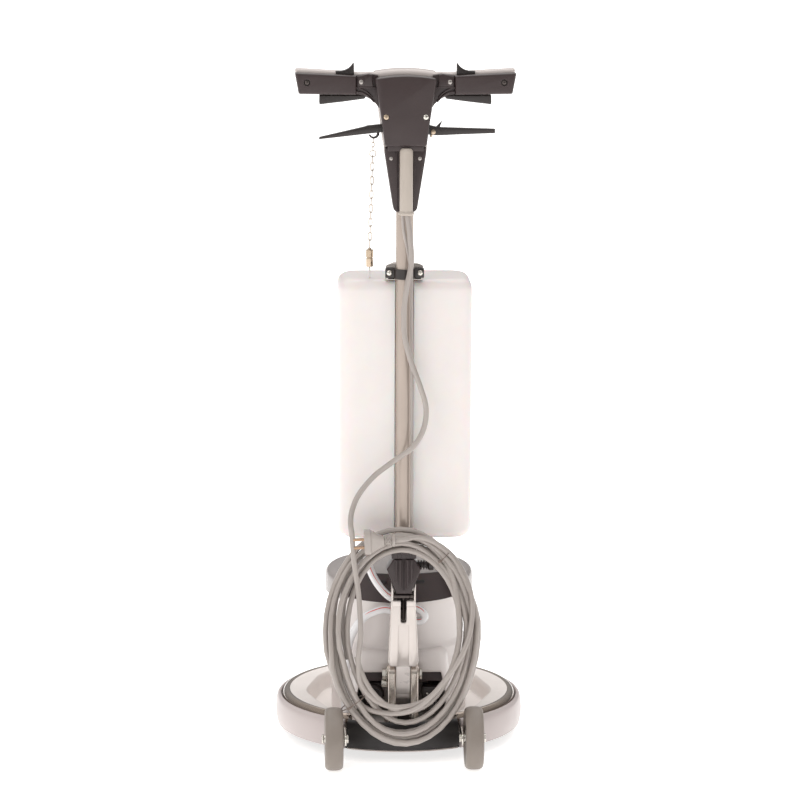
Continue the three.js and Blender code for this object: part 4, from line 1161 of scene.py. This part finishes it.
def build_boot():
    """The flexible sleeve where the cord enters the console."""
    low, high = span("cord_boot")
    across = middle("cord_boot").x
    flange, tube = 13.4, 11.2
    profile = [(0, low.z), (flange - 2, low.z), (flange - 0.4, low.z + 1.2), (flange, low.z + 3.4),
               (tube + 1, low.z + 6), (tube - 0.2, low.z + 7.2), (tube, low.z + 12), (tube, high.z - 6),
               (tube - 1.6, high.z - 2), (tube - 4, high.z), (0, high.z)]
    piece("boot", lathe(profile, (across, POLE.y - 34), "z", 64), BOOT, "handle", "cord_boot")


def squared(turn, across, along):
    """Cosine and sine raised to powers below one, which turn a circle into a rounded box."""
    c, s = math.cos(turn), math.sin(turn)
    return math.copysign(abs(c) ** across, c), math.copysign(abs(s) ** along, s)


def link(centre, down, across, wide, tall, wire):
    """One closed wire link, wide and tall between wire centres, with straight sides."""
    path = []
    for k in range(24):
        c, s = squared(TAU * k / 24, 0.6, 0.8)
        path.append(centre + across * wide / 2 * c + down * tall / 2 * s)
    return sweep(path, wire, 8, closed=True)


def build_chain():
    """Wire links, each turned a quarter from the last, from the lever's hook to the plunger."""
    plunger = middle("valve_plunger")
    top = Vector((-53.5, POLE.y + 1, 1072))
    foot = Vector((plunger.x, plunger.y, span("valve_plunger")[1].z + 2))
    wire, tall, wide, small, ring = 0.85, 14.2, 5.8, (4, 8), (10, 10)
    down = (foot - top).normalized()
    sideways, edgeways = Vector((1, 0, 0)), Vector((0, 1, 0))
    first = ((4, edgeways, small), (11, sideways, small), (19, edgeways, small), (27, sideways, ring))
    shapes = [link(top + down * drop, down, across, *size, wire) for drop, across, size in first]
    start = top + down * 31
    count = round((foot - start).length / (tall - 2 * wire))
    pitch = (foot - start) / count
    for k in range(count):
        across = edgeways if k % 2 == 0 else sideways
        across = (across - down * across.dot(down)).normalized()
        shapes.append(link(start + pitch * (k + 0.5), down, across, wide, pitch.length + 2.4 * wire, wire))
    piece("chain", merge(*shapes), LINK, "valve", "valve_chain")


def build_plunger():
    plunger = middle("valve_plunger")
    low, high = span("valve_plunger")
    body = [(0, high.z - 32), (5.6, high.z - 32), (6, high.z - 31.2), (6, high.z - 18), (5.2, high.z - 17.2),
            (5.2, high.z - 16), (6.4, high.z - 15), (6.4, high.z - 4), (5.4, high.z - 2.8), (3, high.z - 2.2),
            (2.4, high.z), (0, high.z)]
    piece("plunger", lathe(body, (plunger.x, plunger.y), "z", 40), BRASS, "valve", "valve_plunger")
    piece("plunger_rod", rod("z", 1.3, (low.z, high.z - 31.5), (plunger.x, plunger.y)), TANK, "valve")


# ---- cord, plug, hose
CORD_R = 4.7
COIL_Z = 234.5  # height of the coil's middle
COIL_LEAN = 0.15  # how far its top leans back towards the operator's side, per unit of height


def coil_point(x, z, depth):
    """A point on the leaning plane of the coil. depth is towards the operator."""
    return Vector((x, DRIVE.y - 221 + (z - COIL_Z) * COIL_LEAN - depth, z))


# left, right, top, bottom of each turn of the cord, and its depth
TURNS = [(-85, 93, 369, 106, 12), (-97, 101, 379, 86, 3), (-112, 108, 390, 69, 12), (-122, 115, 403, 56, -3),
         (-127, 122, 396, 49, 9), (-132, 130, 414, 41, -2), (-118, 126, 386, 60, -8),
         (-104, 116, 376, 76, -4)]
NARROWING = 0.13  # how much narrower the turns run at the top right


def coil_path():
    """One long cord: turns whose widths and depths drift from one to the next."""
    steps, mid_z = 40, 245
    path = []
    for i in range((len(TURNS) - 1) * steps + 1):
        turn = min(i // steps, len(TURNS) - 2)
        share = i / steps - turn
        left, right, top, bottom, depth = (a + (b - a) * share for a, b in zip(TURNS[turn], TURNS[turn + 1]))
        angle = math.radians(200) + TAU * i / steps
        c, s = math.cos(angle), math.sin(angle)
        x = right * c * (1 - NARROWING * max(0, s)) if c > 0 else -left * c
        z = mid_z + ((top - mid_z) if s > 0 else (mid_z - bottom)) * s
        wobble = 1.8 * math.sin(3 * angle + turn * 1.7) + 1.2 * math.sin(2 * angle + turn)
        path.append(coil_point(x + wobble, z + wobble * 0.6, depth + 2.5 * math.sin(2 * angle + turn * 2.1)))
    return path


def twist_tie(x, z, lean, reach):
    """A thin wire round the bundle at a place, its loop leaning by an angle, with two twisted ends."""
    along = Vector((math.cos(lean), 0, math.sin(lean)))
    mid = coil_point(x, z, 4)
    loop = [mid + along * reach * math.cos(a) + Vector((0, 17 * math.sin(a), 0))
            for a in arc_angles(0, 345, 15)]
    knot = mid + Vector((0, -17, 0))
    ends = [smooth_path([knot, knot - Vector((4, 2, 5)) * k, knot - Vector((9, 1, 7 * k))]) for k in (0.6, 1)]
    return merge(sweep(loop, 0.9, 6, closed=True), *[sweep(end, 0.8, 6) for end in ends])


def build_coil():
    """The coil: the long cord in turns, two strands that cross it, and two wire ties."""
    inner = [(-89, 410, 34), (-85, 360, 27), (-77, 300, 22), (-74, 240, 20), (-78, 190, 18), (-73, 150, 16),
             (-48, 122, 14), (-10, 111, 14), (35, 122, 15), (70, 158, 20), (90, 205, 20), (94, 250, 16),
             (88, 310, 12), (72, 350, 4), (44, 380, -6), (10, 388, -12)]
    crossing = [(-96, 150, -8), (-80, 120, -4), (-58, 104, 4), (-15, 100, 12), (20, 110, 20), (48, 134, 24),
                (70, 160, 26), (88, 185, 26), (104, 215, 24), (114, 248, 18), (116, 290, 8), (104, 330, -2),
                (82, 362, -10), (50, 384, -12), (10, 392, -12)]
    strands = [smooth_path([coil_point(*place) for place in run], 10) for run in (inner, crossing)]
    turns = merge(sweep(coil_path(), CORD_R, 12), *[sweep(strand, CORD_R, 12) for strand in strands])
    piece("coil_of_cord", turns, CORD, "cord_coil", "cord_coil")
    ties = [twist_tie(67, 363, math.radians(38), 12), twist_tie(-88, 116, math.radians(32), 24)]
    piece("twist_ties", merge(*ties), TIE, "cord_coil")


def build_cord_run():
    """The cord from the boot down beside the pole into the coil, and the thin switch cable next to it."""
    run = [(4, 36, 952), (7, 36, 930), (10, 36, 905), (12, 36, 866), (5, 36, 826), (0, 36, 786), (1, 36, 742),
           (11, 36, 700), (28, 36, 653), (38, 36, 615), (33, 36, 578), (15, 37, 549), (-16, 38, 526),
           (-50, 40, 500), (-76, 47, 470), (-88, 58, 444)]
    points = [Vector((x, POLE.y - out, z)) for x, out, z in run]
    points += [coil_point(-91, 426, 35), coil_point(-89, 410, 34)]
    cord = solid("cord_run", sweep(smooth_path(points, 10), CORD_R, 12), CORD)
    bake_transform(cord)
    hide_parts("power_cord")
    slack = [(-5, 34, 950), (-3, 32, 920), (3, 28, 890), (8, 22, 862), (11, 20, 846), (12, 18, 700),
             (13, 18, 520), (13, 17, 385)]
    thin = [Vector((x, POLE.y - out, z)) for x, out, z in slack]
    piece("switch_cable", sweep(smooth_path(thin, 8), 2.6, 10), CORD, "handle")


def build_plug():
    """The plug by its sections from the prongs' face back to the ribbed neck, with the cord it hangs on."""
    low, high = span("plug")
    mid_y, mid_z = (low.y + high.y) / 2, (low.z + high.z) / 2 - 2
    face = low.x + 20  # where the prongs come out

    def section(x, half_y, half_z, power=4.0):
        """A ring round the plug at a distance from its face. A higher power is more like a box."""
        turns = [squared(TAU * k / 32, 2 / power, 2 / power) for k in range(32)]
        return [(face + x, mid_y + half_y * c, mid_z + half_z * s) for c, s in turns]

    sizes = [(0, 10, 20.4), (1.2, 11.2, 21.6), (10.4, 11.6, 21.6), (11.2, 10.6, 20.6), (12.2, 10.2, 19.2),
             (13, 10.8, 19.4), (21, 10.4, 14.6), (30, 9.4, 9.8), (34, 8.6, 8.4)]
    body = [loft([section(x, a, b) for x, a, b in sizes])]
    rib = ((0, 5.6), (0.9, 7.4), (2.4, 7.4), (3.3, 5.6))
    for k in range(3):
        body.append(loft([section(34.5 + 3.9 * k + x, a, a, 2.4) for x, a in rib]))
    body.append(loft([section(33 + x, 5.8, 5.8, 2.4) for x in (0, 14)]))
    for k in (-1, 1):
        brace = plate((face + 34, face + 46), (mid_y - 8, mid_y - 6), (mid_z - 1, mid_z + 1), 0.6, 0.4)
        body.append(turned_about(brace, (face + 40, mid_y, mid_z), "Y", k * 0.8))
    flange = ((0, 5), (0.8, 9.8), (5, 10), (6, 5))
    body.append(loft([section(47 + x, a, a, 2.4) for x, a in flange]))
    tail = [Vector((face + 51, mid_y, mid_z)), Vector((face + 66, mid_y + 1, mid_z + 1)),
            coil_point(24, 397, 20), coil_point(54, 384, 12), coil_point(82, 356, 4), coil_point(99, 322, 0)]
    body.append(sweep(smooth_path(tail, 8), CORD_R, 12))
    pivot, droop = (face + 50, mid_y, mid_z), math.radians(-2.5)
    piece("plug_body", turned_about(merge(*body), pivot, "Y", droop), CORD, "cord_coil", "plug")
    pins = [plate((low.x, face + 2), (mid_y - 3, mid_y + 3), (mid_z + z - 2.3, mid_z + z + 2.3), 1.2, 0.5)
            for z in (-9, 5)]
    piece("plug_pins", turned_about(merge(*pins), pivot, "Y", droop), PRONG, "cord_coil")


def build_hose():
    """The hose from the tank's outlet across to the base, which bends between the handle and the base."""
    upper = [(-60, -104, 380), (-62, -106, 366), (-62, -112, 340), (-50, -120, 306), (-27, -122, 276),
             (2, -123, 261), (22, -123, 253), (34, -123, 246), (38, -123, 237)]
    lower = [(31, -122, 229), (14, -121.5, 231), (-6, -121.5, 242), (-28, -121.5, 250), (-48, -119.5, 245.5),
             (-66, -116, 235), (-82, -111, 214), (-93, -106, 182), (-98, -102, 130), (-99, -100, 80),
             (-99, -100, 49)]
    points = smooth_path([Vector((HANDLE_X + x, DRIVE.y + y, z)) for x, y, z in upper + lower], 8)
    hose = solid("hose", sweep(points, 6.9, 16), HOSE)
    stripe = solid("hose_stripe", sweep([point + Vector((0, -5.4, 4.4)) for point in points], 0.9, 6), STRIPE)
    for obj in (hose, stripe):
        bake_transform(obj)
    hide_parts("hose_upper", "hose_lower")
    foot = (HANDLE_X - 99, DRIVE.y - 100)
    barb = lathe([(0, 48.5), (8.5, 48.5), (9, 49.5), (9, 58), (8, 60), (0, 60)], foot, "z", 32)
    piece("hose_barb", barb, BLACK, "base")


# ---- under the base, and inside
def build_underside():
    """The pad driver, with ribs, and the hooked rings on its face."""
    low, high = span("pad_driver")
    disc = [(24, high.z), (24, low.z), (190, low.z), (194, low.z + 1), (196, low.z + 4), (196, low.z + 7),
            (193, low.z + 9.5), (188, high.z), (150, high.z), (146, high.z - 3), (70, high.z - 3),
            (66, high.z)]
    rib = plate((70, 146), (DRIVE.y - 2, DRIVE.y + 2), (high.z - 6, high.z), 1, 0.6)
    ribs = [turned_about(rib, (*DRIVE_AXIS, 0), "Z", k * TAU / 12) for k in range(12)]
    piece("driver_block", merge(lathe(disc, DRIVE_AXIS), *ribs), DARK, "brush", "pad_driver")
    low, high = span("pad_grip_face")
    rings = []
    for k in range(20):
        r = 62 + k * 6.6
        ring = [(r, high.z), (r, low.z + 1), (r + 1, low.z), (r + 4, low.z), (r + 5, low.z + 1),
                (r + 5, high.z)]
        rings.append(lathe(ring, DRIVE_AXIS))
    under, over = high.z - 1.4, high.z + 0.2
    backing = lathe([(60, over), (60, under), (194, under), (194, over)], DRIVE_AXIS)
    piece("hook_face", merge(backing, *rings), BRISTLE, "brush", "pad_grip_face")


def finish_inside():
    """The sealed inner parts keep their CAD shapes and get real metals."""
    gears = ["sun_gear", "ring_gear", "planet_carrier", "planet_gear_1", "planet_gear_2", "planet_gear_3"]
    looks = dict.fromkeys(["stator", "drive_plate", *gears], STEEL)
    looks.update(gear_housing=CASTING, rotor=COPPER)
    for node, material in looks.items():
        for slot in frame["nodes"][node].material_slots:
            slot.material = material


# ---- floor, light and camera
def build_floor():
    reach = 30  # metres from the middle to each side
    corners = [(-reach, -reach, 0), (reach, -reach, 0), (reach, reach, 0), (-reach, reach, 0)]
    floor_mesh = bpy.data.meshes.new("floor")
    floor_mesh.from_pydata(corners, [], [(0, 1, 2, 3)])
    floor = added("floor", floor_mesh)
    pale = finish_of("pale_floor", None, (0.93, 0.925, 0.92), 0.7, mottle=0.01, grain=90, bump=0.02,
                     Emission_Color=(1, 0.99, 0.98, 1), Emission_Strength=0.7)
    floor_mesh.materials.append(pale)


def build_world():
    """A pale studio that is brighter overhead and on the left."""
    world = bpy.data.worlds.new("studio")
    world.use_nodes = True
    bpy.context.scene.world = world
    tree = world.node_tree
    background = tree.nodes["Background"]
    background.inputs["Color"].default_value = (1.0, 0.985, 0.97, 1)
    place = node_of(tree, "ShaderNodeTexCoord")
    split = node_of(tree, "ShaderNodeSeparateXYZ")
    tree.links.new(place.outputs["Generated"], split.inputs["Vector"])
    height = ramp(tree, split.outputs["Z"], (0.16, 0.72), (0.0, 0.55))
    sideways = node_of(tree, "ShaderNodeMath", operation="MULTIPLY_ADD")
    sideways.inputs[1].default_value = -0.12
    tree.links.new(split.outputs["X"], sideways.inputs[0])
    tree.links.new(height, sideways.inputs[2])
    # A view low enough to look past the floor's edge sees plain white there. The lighting keeps the gradient.
    rays = node_of(tree, "ShaderNodeLightPath")
    seen = node_of(tree, "ShaderNodeMath", operation="MAXIMUM")
    tree.links.new(sideways.outputs["Value"], seen.inputs[0])
    tree.links.new(rays.outputs["Is Camera Ray"], seen.inputs[1])
    tree.links.new(seen.outputs["Value"], background.inputs["Strength"])


def build_lights():
    """A wide sun overhead and three softboxes: left, right and behind."""
    overhead = bpy.data.lights.new("overhead", "SUN")
    overhead.energy = 1.1
    overhead.angle = math.radians(60)
    added("overhead", overhead).rotation_euler = (math.radians(-8), 0, 0)
    softboxes = (((-3.2, -4.2, 3.6), 2.2, 48), ((3.4, -3.6, 3.0), 1.8, 12), ((0.4, 3.6, 4.6), 4.0, 45))
    for place, size, power in softboxes:
        light = bpy.data.lights.new("softbox", "AREA")
        light.size = size
        light.energy = power
        light.color = (1.0, 0.975, 0.95)
        obj = added("softbox", light)
        obj.location = place
        obj.rotation_euler = (Vector((0, 0, 0.5)) - Vector(place)).to_track_quat("-Z", "Y").to_euler()


def build_camera():
    """The photograph's viewing angle."""
    camera = bpy.data.cameras.new("camera")
    camera.lens = 157.33
    camera.sensor_width = 36
    obj = added("camera", camera)
    bpy.context.scene.camera = obj
    bpy.context.scene.view_settings.view_transform = "Standard"
    bearing, distance, height = math.radians(-2.2), 6.0, 1.70
    obj.location = (distance * math.sin(bearing), DRIVE.y * MM - distance * math.cos(bearing), height)
    heading, pitch, roll = math.radians(-2.191), math.radians(-10.4055), math.radians(0.2)
    turns = ((heading, "Z"), (math.radians(90) + pitch, "X"), (roll, "Z"))
    first, second, third = (Matrix.Rotation(angle, 3, axis) for angle, axis in turns)
    obj.rotation_euler = (first @ second @ third).to_euler()


build_skirt()
build_casting()
build_motor_cover()
build_back_panel()
build_hood()
build_clevis()
build_pivot()
build_wheels()
build_socket()
build_terminal_box()
build_arm()
build_foot()
build_hook_clip()
build_lock()
build_pole()
build_gland()
build_tank()
build_filler_cap()
build_clamp()
build_strap()
build_console_back()
build_console_front()
build_grips()
build_triggers_and_buttons()
build_solution_lever()
build_lock_lever()
build_stem()
build_boot()
build_chain()
build_plunger()
build_coil()
build_cord_run()
build_plug()
build_hose()
build_underside()
finish_inside()
build_floor()
build_world()
build_lights()
build_camera()
